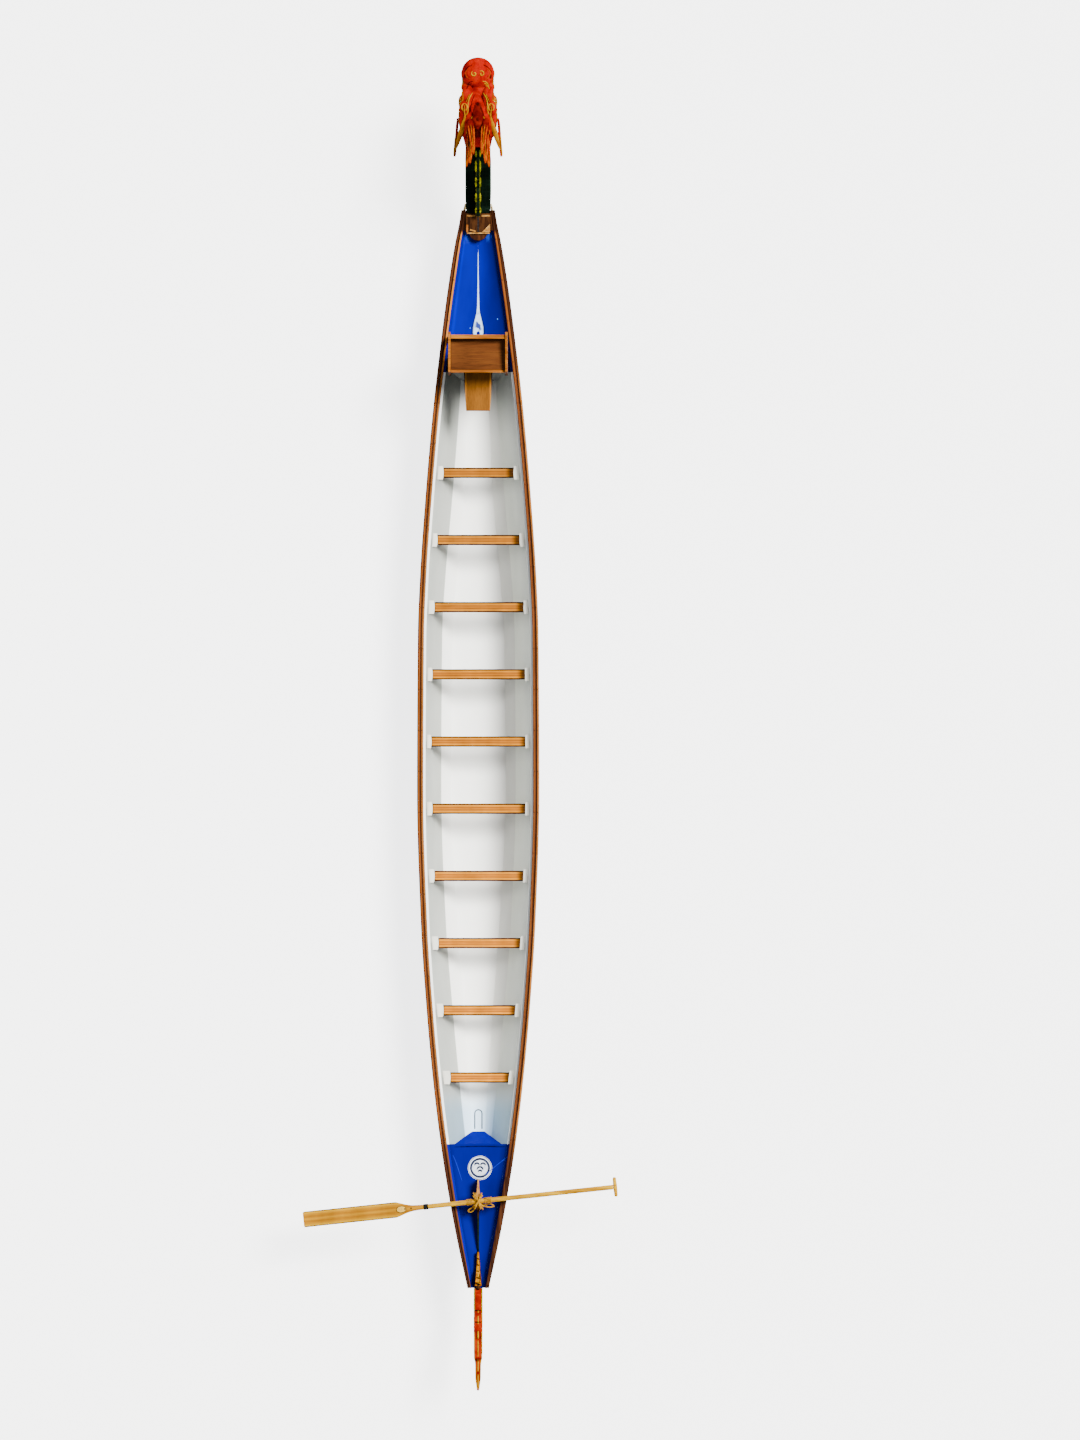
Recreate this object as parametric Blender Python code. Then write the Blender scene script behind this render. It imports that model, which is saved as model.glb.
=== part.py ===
# Dragon boat for twenty paddlers, a drummer and a steerer, in metres.
# +X is the bow, +Y is port and +Z is up. The origin is amidships on the centreline,
# on the flat stretch of the bottom that the boat stands on.

import math

import bmesh
import bpy
from mathutils import Matrix, Vector

# Fits and thicknesses
SEAT_GAP = 0.0003
WALL_GAP = 0.0009
HULL_SKIN = 0.02
DECK_SKIN = 0.014
LIP = 0.025
RAIL_OVERHANG = 0.012
RAIL_HEIGHT = 0.067
RAIL_GROOVE = 0.003

# Hull lines, half widths from the centreline. Each column is read with a smooth curve.
# x, keel height, bottom half, chine height, chine half, sheer height, rail half, rail width
HULL_COLUMNS = (
    "keel", "bottom_half", "chine", "chine_half", "sheer", "rail_half", "rail_width",
)
HULL_ROWS = (
    (6.02, 0.485, 0.030, 0.510, 0.100, 0.856, 0.187, 0.040),
    (5.85, 0.445, 0.035, 0.478, 0.120, 0.797, 0.216, 0.054),
    (5.69, 0.412, 0.042, 0.462, 0.140, 0.782, 0.250, 0.062),
    (5.25, 0.328, 0.055, 0.425, 0.170, 0.769, 0.323, 0.070),
    (4.60, 0.235, 0.080, 0.365, 0.197, 0.752, 0.410, 0.070),
    (3.80, 0.135, 0.115, 0.297, 0.240, 0.730, 0.503, 0.070),
    (2.80, 0.052, 0.160, 0.240, 0.320, 0.711, 0.590, 0.070),
    (1.95, 0.000, 0.236, 0.200, 0.394, 0.701, 0.648, 0.070),
    (1.30, 0.000, 0.280, 0.184, 0.430, 0.697, 0.673, 0.070),
    (-0.45, 0.000, 0.300, 0.184, 0.440, 0.695, 0.682, 0.070),
    (-1.90, 0.039, 0.230, 0.226, 0.390, 0.706, 0.640, 0.070),
    (-2.90, 0.100, 0.155, 0.268, 0.312, 0.728, 0.574, 0.070),
    (-3.70, 0.175, 0.105, 0.315, 0.235, 0.748, 0.500, 0.070),
    (-4.40, 0.258, 0.065, 0.366, 0.160, 0.766, 0.414, 0.070),
    (-5.00, 0.355, 0.045, 0.395, 0.100, 0.785, 0.319, 0.066),
    (-5.45, 0.450, 0.035, 0.482, 0.070, 0.811, 0.234, 0.058),
    (-5.98, 0.630, 0.030, 0.660, 0.052, 0.845, 0.120, 0.042),
)
STATION_STEP = 0.32

# Ends, decks and bulkheads
BOW_X = 6.02
STERN_X = -5.98
END_PLATE = 0.015
FORE_DECK_AFT = 4.22
AFT_DECK_FORE = -4.38
DECK_DIP = 0.05
DECK_FLAT = 0.032
BULKHEAD_RAKE = 0.15
BULKHEAD_SKIN = 0.02

# Benches, counted from the bow
BENCH_COUNT = 10
BENCH_FIRST_X = 3.10
BENCH_PITCH = 0.749
BENCH_DEPTH = 0.115
BENCH_THICK = 0.028
BENCH_BELOW_SHEER = 0.085

# The floor comes in six lengths, which meet at the edges of the decks and of two benches,
# and at the oar post
FLOOR_JOINT_FORE = BENCH_FIRST_X - BENCH_PITCH - BENCH_DEPTH / 2
FLOOR_JOINT_AFT = BENCH_FIRST_X - 6 * BENCH_PITCH + BENCH_DEPTH / 2
FLOOR_JOINT_POST = -4.96

# Drummer's seat
SEAT_FORE = 4.62
SEAT_AFT = 4.18
SEAT_HALF = 0.33
SEAT_PLANK = 0.028
SEAT_TOP_FORE = 1.724
SEAT_TOP_AFT = 1.661
SEAT_TOP_RAKE = 0.025
SEAT_BOARD_DROP = 0.085
SEAT_CROSS_X = 4.30
FOOTREST_TOP = 1.199
FOOTREST_TIP_TOP = 1.162
FOOTREST_UNDER = 1.135
FOOTREST_AFT = 3.78
FOOTREST_HALF = 0.165
FOOTREST_TIP_HALF = 0.133

# Neck step and brackets at the bow
STEP_FORE = 5.985
STEP_AFT = 5.77
STEP_HALF = 0.139
STEP_TOP = 0.905
BRACKET_SKIN = 0.012

# Dragon neck and head
NECK_HALF = 0.139
NECK_TOP_X = 6.72
JAW_SPLIT = 1.25
CREST_HALF = 0.02

# Steering oar and its lashing
PIVOT = Vector((-5.01, 0.0, 1.0))
OAR_YAW = math.radians(6.0)
SHAFT_RADIUS = 0.0265
OAR_BLADE_TIP = 1.955
OAR_BLADE_LENGTH = 1.03
OAR_BLADE_NECK = 0.31
OAR_BLADE_WIDTH = 0.175
OAR_BLADE_THICK = 0.024
OAR_GRIP_END = 1.556
GRIP_LENGTH = 0.217
GRIP_RADIUS = 0.0225
BAND_AT = 0.585
BAND_LENGTH = 0.05
LASH_ROLL = 0.02
LASH_ROLL_HALF = 0.045
LASH_LOOP = 0.012
LASH_PLAY = 0.008

# Oar post on the aft deck
POST_FORE = -4.77
POST_AFT = -5.55
POST_HALF = 0.027
POST_TOP = PIVOT.z - SHAFT_RADIUS - 0.0008 - 2 * LASH_ROLL - SEAT_GAP

# Tail
TAIL_HALF = 0.042
TAIL_ROOT_HALF = 0.014

WOOD_RAIL = (0.19, 0.047, 0.010, 1)
WOOD_INNER = (0.45, 0.15, 0.035, 1)
WOOD_BENCH = (0.55, 0.22, 0.05, 1)
WOOD_SEAT = (0.32, 0.10, 0.015, 1)
WOOD_OAR = (0.80, 0.50, 0.14, 1)
BLUE = (0.002, 0.026, 0.30, 1)
DECK_BLUE = (0.003, 0.01, 0.66, 1)
WHITE = (0.8, 0.81, 0.8, 1)
GREEN = (0.006, 0.03, 0.011, 1)
RED = (0.75, 0.03, 0.008, 1)
ROPE = (0.62, 0.38, 0.16, 1)
PLATE = (0.72, 0.64, 0.50, 1)


def clear_scene():
    for obj in list(bpy.data.objects):
        bpy.data.objects.remove(obj, do_unlink=True)


def paint(name, colour, roughness, metallic=0.0):
    material = bpy.data.materials.new(name)
    material.use_nodes = True
    shader = material.node_tree.nodes["Principled BSDF"]
    shader.inputs["Base Color"].default_value = colour
    shader.inputs["Roughness"].default_value = roughness
    shader.inputs["Metallic"].default_value = metallic
    material.diffuse_color = colour
    return material


def to_object(name, bm, material, origin=(0, 0, 0), turn=None):
    bmesh.ops.recalc_face_normals(bm, faces=bm.faces)
    if bm.calc_volume(signed=True) < 0:
        bmesh.ops.reverse_faces(bm, faces=bm.faces)
    mesh = bpy.data.meshes.new(name)
    bm.to_mesh(mesh)
    bm.free()
    mesh.materials.append(material)
    mesh.shade_smooth()
    mesh.set_sharp_from_angle(angle=math.radians(35))
    obj = bpy.data.objects.new(name, mesh)
    obj.location = origin
    if turn is not None:
        obj.rotation_euler = turn
    bpy.context.scene.collection.objects.link(obj)
    return obj


def skin(rings):
    # Bridges rings of equal length and closes both ends.
    bm = bmesh.new()
    rows = [[bm.verts.new(point) for point in ring] for ring in rings]
    count = len(rows[0])
    for here, there in zip(rows, rows[1:]):
        for i in range(count):
            j = (i + 1) % count
            bm.faces.new((here[i], here[j], there[j], there[i]))
    bm.faces.new(rows[0][::-1])
    bm.faces.new(rows[-1])
    return bm


def board(outline, half, lean=None):
    # Side outline of (x, z) points made a board about the centreline plane.
    lean = lean or (lambda x, z: 0.0)
    rings = [
        [(x, side * half + lean(x, z), z) for x, z in outline] for side in (-1, 1)
    ]
    return skin(rings)


def block(low, high):
    bm = bmesh.new()
    bmesh.ops.create_cube(bm, size=1)
    for vert in bm.verts:
        for axis in range(3):
            vert.co[axis] = high[axis] if vert.co[axis] > 0 else low[axis]
    return bm


def bezier(start, control, end, steps):
    points = []
    for i in range(1, steps + 1):
        t = i / steps
        weights = ((1 - t) ** 2, 2 * t * (1 - t), t * t)
        points.append(
            tuple(
                sum(w * p[axis] for w, p in zip(weights, (start, control, end)))
                for axis in range(2)
            )
        )
    return points


def smooth_column(xs, ys):
    # Monotone cubic through the rows, so a level stretch stays level.
    order = sorted(range(len(xs)), key=lambda i: xs[i])
    xs = [xs[i] for i in order]
    ys = [ys[i] for i in order]
    steps = [b - a for a, b in zip(xs, xs[1:])]
    slopes = [(b - a) / h for a, b, h in zip(ys, ys[1:], steps)]
    tangents = [slopes[0]]
    for (h0, h1), (s0, s1) in zip(zip(steps, steps[1:]), zip(slopes, slopes[1:])):
        if s0 * s1 <= 0:
            tangents.append(0.0)
        else:
            w0 = 2 * h1 + h0
            w1 = h1 + 2 * h0
            tangents.append((w0 + w1) / (w0 / s0 + w1 / s1))
    tangents.append(slopes[-1])

    def read(x):
        x = min(max(x, xs[0]), xs[-1])
        i = max(k for k in range(len(steps)) if xs[k] <= x)
        h = steps[i]
        t = (x - xs[i]) / h
        return (
            (1 + 2 * t) * (1 - t) ** 2 * ys[i]
            + t * (1 - t) ** 2 * h * tangents[i]
            + t * t * (3 - 2 * t) * ys[i + 1]
            + t * t * (t - 1) * h * tangents[i + 1]
        )

    return read


ROW_XS = [row[0] for row in HULL_ROWS]
CURVES = {
    column: smooth_column(ROW_XS, [row[i + 1] for row in HULL_ROWS])
    for i, column in enumerate(HULL_COLUMNS)
}


def deck_dip_at(x):
    lip = CURVES["rail_half"](x) - CURVES["rail_width"](x) - LIP
    return DECK_DIP * min(1.0, lip / 0.2)


CURVES["dip"] = deck_dip_at


def bench_centres():
    return [BENCH_FIRST_X - i * BENCH_PITCH for i in range(BENCH_COUNT)]


def hull_stations():
    # A station wherever a piece ends, so that neighbours share facets, and even ones between.
    ends = [
        BOW_X, BOW_X - END_PLATE, STERN_X + END_PLATE, STERN_X,
        FORE_DECK_AFT, FORE_DECK_AFT - BULKHEAD_RAKE,
        AFT_DECK_FORE, AFT_DECK_FORE + BULKHEAD_RAKE,
        STEP_FORE, STEP_AFT, -5.25,
    ]
    for centre in bench_centres():
        ends += [centre - BENCH_DEPTH / 2, centre + BENCH_DEPTH / 2]
    ends.sort()
    xs = [ends[0]]
    for start, end in zip(ends, ends[1:]):
        step = STATION_STEP if abs(start + end) / 2 < 5 else STATION_STEP / 2
        count = math.ceil((end - start) / step)
        xs += [start + (end - start) * i / count for i in range(1, count + 1)]
    return xs


STATIONS = hull_stations()


def line(column, x):
    # Height or half width on the faceted hull, straight between two stations.
    x = min(max(x, STATIONS[0]), STATIONS[-1])
    i = max(k for k in range(len(STATIONS) - 1) if STATIONS[k] <= x)
    x0, x1 = STATIONS[i], STATIONS[i + 1]
    t = (x - x0) / (x1 - x0)
    return (1 - t) * CURVES[column](x0) + t * CURVES[column](x1)


def bottom_skin(x):
    return min(HULL_SKIN, 0.6 * (line("chine", x) - line("keel", x)))


def lip_half(x):
    return line("rail_half", x) - line("rail_width", x) - LIP


def wall_half(x, z):
    # Half width of the inside between the chine and the lip.
    low = line("chine", x)
    share = (z - low) / (line("sheer", x) - low)
    inner = line("chine_half", x) - HULL_SKIN
    return inner + share * (lip_half(x) - inner)


def span(aft, fore):
    inside = [x for x in STATIONS if aft + 1e-6 < x < fore - 1e-6]
    return [aft, *inside, fore]


def floor_half(x):
    # Half width of the inside floor, which stays clear of the chine at the ends.
    return min(line("bottom_half", x), line("chine_half", x) - HULL_SKIN - 0.004)


def floor_ring(x):
    keel = line("keel", x)
    half = line("bottom_half", x)
    floor = keel + bottom_skin(x)
    return [
        (x, -half, keel), (x, half, keel),
        (x, floor_half(x), floor), (x, -floor_half(x), floor),
    ]


def bilge_ring(x, side):
    keel = line("keel", x)
    chine = line("chine", x)
    outer = line("chine_half", x)
    return [
        (x, side * (line("bottom_half", x) + WALL_GAP), keel),
        (x, side * outer, chine),
        (x, side * (outer - HULL_SKIN), chine),
        (x, side * (floor_half(x) + WALL_GAP), keel + bottom_skin(x)),
    ]


def side_ring(x, side):
    chine = line("chine", x) + SEAT_GAP
    sheer = line("sheer", x)
    outer = line("chine_half", x)
    return [
        (x, side * outer, chine),
        (x, side * (line("rail_half", x) - RAIL_OVERHANG), sheer),
        (x, side * lip_half(x), sheer),
        (x, side * (outer - HULL_SKIN), chine),
    ]


def rail_ring(x, side, outer, inner):
    low = line("sheer", x) + SEAT_GAP
    high = low + RAIL_HEIGHT
    edge = 0.006
    return [
        (x, side * outer, low),
        (x, side * outer, high - edge),
        (x, side * (outer - edge), high),
        (x, side * (inner + edge), high),
        (x, side * inner, high - edge),
        (x, side * inner, low),
    ]


def outwale_ring(x, side):
    half = line("rail_half", x)
    return rail_ring(x, side, half, half - line("rail_width", x) / 2)


def inwale_ring(x, side):
    half = line("rail_half", x)
    width = line("rail_width", x)
    return rail_ring(x, side, half - width / 2 - RAIL_GROOVE, half - width)


def deck_ring(x):
    top = line("sheer", x)
    under = top - DECK_SKIN
    wide = lip_half(x) - WALL_GAP
    low = wall_half(x, under) - 2 * WALL_GAP
    dip = line("dip", x)
    middle = DECK_FLAT + 0.5 * (wide - DECK_FLAT)
    upper = [(wide, 0), (middle, 0.72 * dip), (DECK_FLAT, dip)]
    lower = [(low, 0), (middle, 0.72 * dip), (DECK_FLAT, dip)]
    ring = [(x, y, top - drop) for y, drop in upper]
    ring += [(x, -y, top - drop) for y, drop in reversed(upper)]
    ring += [(x, -y, under - drop) for y, drop in lower]
    ring += [(x, y, under - drop) for y, drop in reversed(lower)]
    return ring


def deck_top(x):
    return line("sheer", x) - line("dip", x)


def cavity_points(x_of, inset, top_of):
    # Inside outline of the hull, each corner at its own x, from port to starboard.
    x_top, x_chine, x_floor = x_of("top"), x_of("chine"), x_of("floor")
    floor = line("keel", x_floor) + bottom_skin(x_floor) + inset
    half_floor = floor_half(x_floor)
    chine = line("chine", x_chine)
    half_chine = line("chine_half", x_chine) - HULL_SKIN - inset
    top = top_of(x_top)
    half_top = wall_half(x_top, top) - inset
    port = [
        (x_top, half_top, top),
        (x_chine, half_chine, chine),
        (x_floor, half_floor - inset, floor),
    ]
    return port + [(x, -y, z) for x, y, z in reversed(port)]


def hull():
    blue = paint("hull_blue", BLUE, 0.18)
    deck_blue = paint("deck_blue", DECK_BLUE, 0.15)
    joint = SEAT_GAP / 2
    for name, aft, fore in (
        ("bow", FORE_DECK_AFT + joint, BOW_X),
        ("fore", FLOOR_JOINT_FORE + joint, FORE_DECK_AFT - joint),
        ("mid", FLOOR_JOINT_AFT + joint, FLOOR_JOINT_FORE - joint),
        ("aft", AFT_DECK_FORE + joint, FLOOR_JOINT_AFT - joint),
        ("post", FLOOR_JOINT_POST + joint, AFT_DECK_FORE - joint),
        ("stern", STERN_X, FLOOR_JOINT_POST - joint),
    ):
        rings = [floor_ring(x) for x in span(aft, fore)]
        to_object(f"hull_floor_{name}", skin(rings), blue)
    for name, side in (("port", 1), ("starboard", -1)):
        bilge = [bilge_ring(x, side) for x in STATIONS]
        wall = [side_ring(x, side) for x in STATIONS]
        to_object(f"hull_bilge_{name}", skin(bilge), blue)
        to_object(f"hull_side_{name}", skin(wall), blue)
    for name, x in (("bow_plate", BOW_X - END_PLATE), ("stern_plate", STERN_X)):
        rings = [
            cavity_points(
                lambda corner, at=at: at,
                WALL_GAP,
                lambda at: deck_top(at) - DECK_SKIN - 0.002,
            )
            for at in (x, x + END_PLATE)
        ]
        to_object(name, skin(rings), blue)
    for name, aft, fore in (
        ("fore_deck", FORE_DECK_AFT, BOW_X),
        ("aft_deck", STERN_X, AFT_DECK_FORE),
    ):
        to_object(name, skin([deck_ring(x) for x in span(aft, fore)]), deck_blue)
    for name, top_x, rake in (
        ("fore_bulkhead", FORE_DECK_AFT + BULKHEAD_SKIN, -BULKHEAD_RAKE),
        ("aft_bulkhead", AFT_DECK_FORE - BULKHEAD_SKIN, BULKHEAD_RAKE),
    ):
        bulkhead(name, top_x, rake, deck_blue)


def bulkhead(name, top_x, rake, material):
    away = math.copysign(BULKHEAD_SKIN, -rake)

    def under_deck(x):
        return line("sheer", x) - DECK_DIP - DECK_SKIN - 0.004

    rings = []
    for shift in (0.0, away):
        share = {"top": 0.0, "chine": 0.62, "floor": 1.0}
        rings.append(
            cavity_points(
                lambda corner, shift=shift: top_x + shift + rake * share[corner],
                0.0012,
                under_deck,
            )
        )
    to_object(name, skin(rings), material)


def rails():
    outer_wood = paint("outwale_wood", WOOD_RAIL, 0.4)
    inner_wood = paint("inwale_wood", WOOD_INNER, 0.4)
    for name, side in (("port", 1), ("starboard", -1)):
        outer = [outwale_ring(x, side) for x in STATIONS]
        inner = [inwale_ring(x, side) for x in STATIONS]
        to_object(f"outwale_{name}", skin(outer), outer_wood)
        to_object(f"inwale_{name}", skin(inner), inner_wood)


def rail_board():
    # Extra board on the starboard rail beside the steerer.
    rings = []
    for x in span(-5.95, -4.74):
        low = line("sheer", x) + RAIL_HEIGHT + 2 * SEAT_GAP
        outer = line("rail_half", x) - 0.004
        inner = line("rail_half", x) - line("rail_width", x) + 0.004
        rings.append(
            [(x, -outer, low), (x, -outer, low + 0.02), (x, -inner, low + 0.02),
             (x, -inner, low)]
        )
    to_object("rail_board_starboard", skin(rings), paint("rail_board", WOOD_RAIL, 0.5))


def benches():
    wood = paint("bench_wood", WOOD_BENCH, 0.35)
    for i, centre in enumerate(bench_centres()):
        top = line("sheer", centre) - BENCH_BELOW_SHEER
        rings = []
        for x in span(centre - BENCH_DEPTH / 2, centre + BENCH_DEPTH / 2):
            high = wall_half(x, top) - WALL_GAP
            low = wall_half(x, top - BENCH_THICK) - WALL_GAP
            rings.append(
                [(x, high, top), (x, -high, top),
                 (x, -low, top - BENCH_THICK), (x, low, top - BENCH_THICK)]
            )
        to_object(f"bench_{i + 1:02d}", skin(rings), wood)


def drummer_seat():
    wood = paint("seat_wood", WOOD_SEAT, 0.4)
    base = line("sheer", SEAT_FORE) + SEAT_GAP
    inner = SEAT_HALF - SEAT_PLANK
    depth = SEAT_FORE - SEAT_AFT
    side_outline = [
        (SEAT_FORE, base),
        (SEAT_FORE + SEAT_TOP_RAKE, SEAT_TOP_FORE),
        (SEAT_AFT + SEAT_TOP_RAKE, SEAT_TOP_AFT),
        (SEAT_AFT, base),
        (SEAT_FORE - 0.52 * depth, base),
        (SEAT_FORE - 0.50 * depth, base + 0.215),
        (SEAT_FORE - 0.18 * depth, base + 0.16),
        (SEAT_FORE - 0.12 * depth, base),
    ]
    for name, side in (("port", 1), ("starboard", -1)):
        centre = side * (SEAT_HALF - SEAT_PLANK / 2)
        panel = board(side_outline, SEAT_PLANK / 2, lambda x, z, y=centre: y)
        to_object(f"seat_side_{name}", panel, wood)
    gap = WALL_GAP
    seat_top = SEAT_TOP_AFT - SEAT_BOARD_DROP
    front = SEAT_FORE - 0.05
    to_object(
        "seat_front_panel",
        block((front, -inner + gap, 1.30), (SEAT_FORE - 0.004, inner - gap, 1.69)),
        wood,
    )
    to_object(
        "seat_board",
        block(
            (SEAT_AFT + 0.045, -inner + gap, seat_top - 0.025),
            (front - SEAT_GAP, inner - gap, seat_top),
        ),
        paint("seat_board_wood", WOOD_SEAT, 0.3),
    )
    to_object(
        "seat_aft_rail",
        block(
            (SEAT_AFT + 0.018, -inner + gap, seat_top - 0.07),
            (SEAT_AFT + 0.045 - SEAT_GAP, inner - gap, seat_top + 0.02),
        ),
        wood,
    )
    to_object(
        "seat_cross_panel",
        block(
            (SEAT_CROSS_X, -inner + gap, 1.02),
            (SEAT_CROSS_X + 0.025, inner - gap, seat_top - 0.025 - SEAT_GAP),
        ),
        wood,
    )
    footrest()


def footrest():
    fore = SEAT_CROSS_X - SEAT_GAP
    rings = []
    for x, half, top in (
        (fore, FOOTREST_HALF, FOOTREST_TOP),
        (FOOTREST_AFT, FOOTREST_TIP_HALF, FOOTREST_TIP_TOP),
    ):
        rings.append(
            [(x, half, top), (x, -half, top), (x, -half, FOOTREST_UNDER),
             (x, half, FOOTREST_UNDER)]
        )
    to_object("footrest_board", skin(rings), paint("footrest_wood", WOOD_BENCH, 0.4))


def neck_step():
    wood = paint("step_wood", WOOD_SEAT, 0.45)
    bottom = [line("sheer", x) + SEAT_GAP for x in (STEP_AFT, STEP_FORE)]
    outline = [
        (STEP_AFT, bottom[0]), (STEP_FORE, bottom[1]),
        (STEP_FORE, STEP_TOP), (STEP_AFT, STEP_TOP - 0.03),
    ]
    to_object("neck_step", board(outline, STEP_HALF), wood)
    arc = []
    radius = 0.10
    for i in range(9):
        angle = math.pi * i / 8
        arc.append((-radius * math.sin(angle) * 0.9, radius * math.cos(angle)))
    rings = []
    start = STEP_AFT - SEAT_GAP
    for z in (line("sheer", STEP_AFT) + 0.004, STEP_TOP - 0.06):
        rings.append([(start + x, y, z) for x, y in arc])
    to_object("step_round", skin(rings), paint("step_dark", WOOD_RAIL, 0.5))


# Bracket plate from aft to fore: x, low, high
BRACKET_ROWS = (
    (5.935, 0.640, 0.745),
    (5.965, 0.548, 0.762),
    (STEP_FORE, 0.556, 0.773),
    (BOW_X, 0.570, 0.762),
    (6.100, 0.616, 0.640),
)


def neck_brackets():
    # A plate each side that ties the neck to the outside of the bow.
    metal = paint("bracket_plate", PLATE, 0.35)
    for name, side in (("port", 1), ("starboard", -1)):
        rings = []
        for x, low, high in BRACKET_ROWS:
            inner = [bracket_face(x, z) for z in (low, high)]
            rings.append(
                [(x, side * inner[0], low), (x, side * inner[1], high),
                 (x, side * (inner[1] + BRACKET_SKIN), high),
                 (x, side * (inner[0] + BRACKET_SKIN), low)]
            )
        to_object(f"neck_bracket_{name}", skin(rings), metal)


def bracket_face(x, z):
    face = side_outer(min(x, BOW_X), z)
    if x > STEP_FORE:
        face = max(face, NECK_HALF)
    return face + 2 * SEAT_GAP


def side_outer(x, z):
    low = line("chine", x)
    share = min(max((z - low) / (line("sheer", x) - low), 0.0), 1.0)
    outer = line("chine_half", x)
    return outer + share * (line("rail_half", x) - RAIL_OVERHANG - outer)


NECK_FRONT = (
    (6.10, 0.624), (6.257, 0.691), (6.375, 0.755), (6.494, 0.832), (6.621, 0.944),
    (NECK_TOP_X, 1.058),
)
NECK_BACK = (
    (NECK_TOP_X, 1.500), (6.640, 1.412), (6.557, 1.321), (6.431, 1.195),
    (6.257, 1.015), (6.120, 0.900), (6.030, 0.862),
)


def neck():
    green = paint("neck_green", GREEN, 0.25)
    base_x = BOW_X + SEAT_GAP
    outline = [*NECK_FRONT, *NECK_BACK, (base_x, 0.858), (base_x, 0.700)]
    outline = [(x - (SEAT_GAP if x == NECK_TOP_X else 0), z) for x, z in outline]
    to_object("dragon_neck", board(outline, NECK_HALF), green)


# Crest hooks: upper root, lower root and tip, on the back of the neck.
HOOKS = (
    ((6.600, 1.369), (6.500, 1.264), (6.345, 1.440)),
    ((6.480, 1.244), (6.390, 1.153), (6.277, 1.320)),
    ((6.370, 1.132), (6.280, 1.039), (6.150, 1.195)),
    ((6.260, 1.018), (6.180, 0.950), (6.024, 1.100)),
    ((6.160, 0.934), (6.075, 0.881), (5.943, 0.995)),
)


def crest():
    gold = paint("crest_green", GREEN, 0.3)
    lift = 0.0006
    top = (NECK_TOP_X - 0.03, 1.500 - 0.033)
    base = [top, *NECK_BACK[1:]]
    seat_line = [(x - lift, z + lift) for x, z in base]
    outer = [(top[0] - 0.012, top[1] + 0.02)]
    for upper, lower, tip in HOOKS:
        start = (upper[0] - 0.012, upper[1] + 0.013)
        end = (lower[0] - 0.012, lower[1] + 0.013)
        length = start[0] - tip[0]
        outer.append(start)
        outer += bezier(start, (start[0] - 0.45 * length, start[1] + 0.11), tip, 5)
        inside = (start[0] - 0.50 * length, start[1] + 0.015)
        outer += bezier(tip, inside, end, 4)
    last = seat_line[-1]
    outer.append((last[0] - 0.006, last[1] + 0.012))
    outline = seat_line[::-1] + outer
    to_object("neck_crest", board(outline, CREST_HALF), gold)


def oval(x, low, high, half, power, count=20):
    points = []
    centre = (low + high) / 2
    tall = (high - low) / 2
    for i in range(count):
        angle = 2 * math.pi * i / count
        c, s = math.cos(angle), math.sin(angle)
        y = half * math.copysign(abs(c) ** (2 / power), c)
        z = centre + tall * math.copysign(abs(s) ** (2 / power), s)
        points.append((x, y, z))
    return points


# Skull and upper jaw from the nose aft: x, low, high, half width
SKULL_ROWS = (
    (7.665, 1.600, 1.655, 0.060),
    (7.620, 1.572, 1.700, 0.125),
    (7.520, 1.545, 1.730, 0.160),
    (7.390, 1.505, 1.703, 0.160),
    (7.270, 1.470, 1.700, 0.172),
    (7.225, 1.452, 1.762, 0.185),
    (7.205, 1.300, 1.790, 0.190),
    (7.190, JAW_SPLIT, 1.800, 0.194),
    (7.080, JAW_SPLIT, 1.852, 0.212),
    (6.980, JAW_SPLIT, 1.815, 0.212),
    (6.880, JAW_SPLIT, 1.740, 0.190),
    (6.780, JAW_SPLIT, 1.620, 0.160),
    (NECK_TOP_X, JAW_SPLIT, 1.540, 0.146),
)
# Lower jaw and throat: x, low, high, half width
JAW_ROWS = (
    (7.560, 1.150, 1.225, 0.070),
    (7.520, 1.108, 1.243, 0.110),
    (7.440, 1.108, 1.243, 0.130),
    (7.340, 1.165, 1.240, 0.135),
    (7.210, 1.115, JAW_SPLIT, 0.165),
    (7.130, 1.098, JAW_SPLIT, 0.185),
    (6.940, 1.075, JAW_SPLIT, 0.190),
    (6.800, 1.080, JAW_SPLIT, 0.160),
    (NECK_TOP_X, 1.070, JAW_SPLIT, 0.146),
)


def head_solid(rows, grow=0.0, drop=0.0):
    rings = [
        oval(x, low - grow, high + grow - drop, half + grow, 3.4) for x, low, high, half in rows
    ]
    return skin(rings)


def cutter(bm, name):
    obj = to_object(name, bm, paint(name, WHITE, 0.5))
    obj.hide_render = True
    obj.display_type = "WIRE"
    return obj


def carve(obj, tool, operation="DIFFERENCE"):
    modifier = obj.modifiers.new(f"{operation.lower()}_{tool.name}", "BOOLEAN")
    modifier.operation = operation
    modifier.object = tool


def ball(centre, radii, segments=20, rings=12):
    bm = bmesh.new()
    bmesh.ops.create_uvsphere(bm, u_segments=segments, v_segments=rings, radius=1)
    for vert in bm.verts:
        vert.co = Vector(centre) + Vector(
            tuple(c * r for c, r in zip(vert.co, radii))
        )
    return bm


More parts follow.
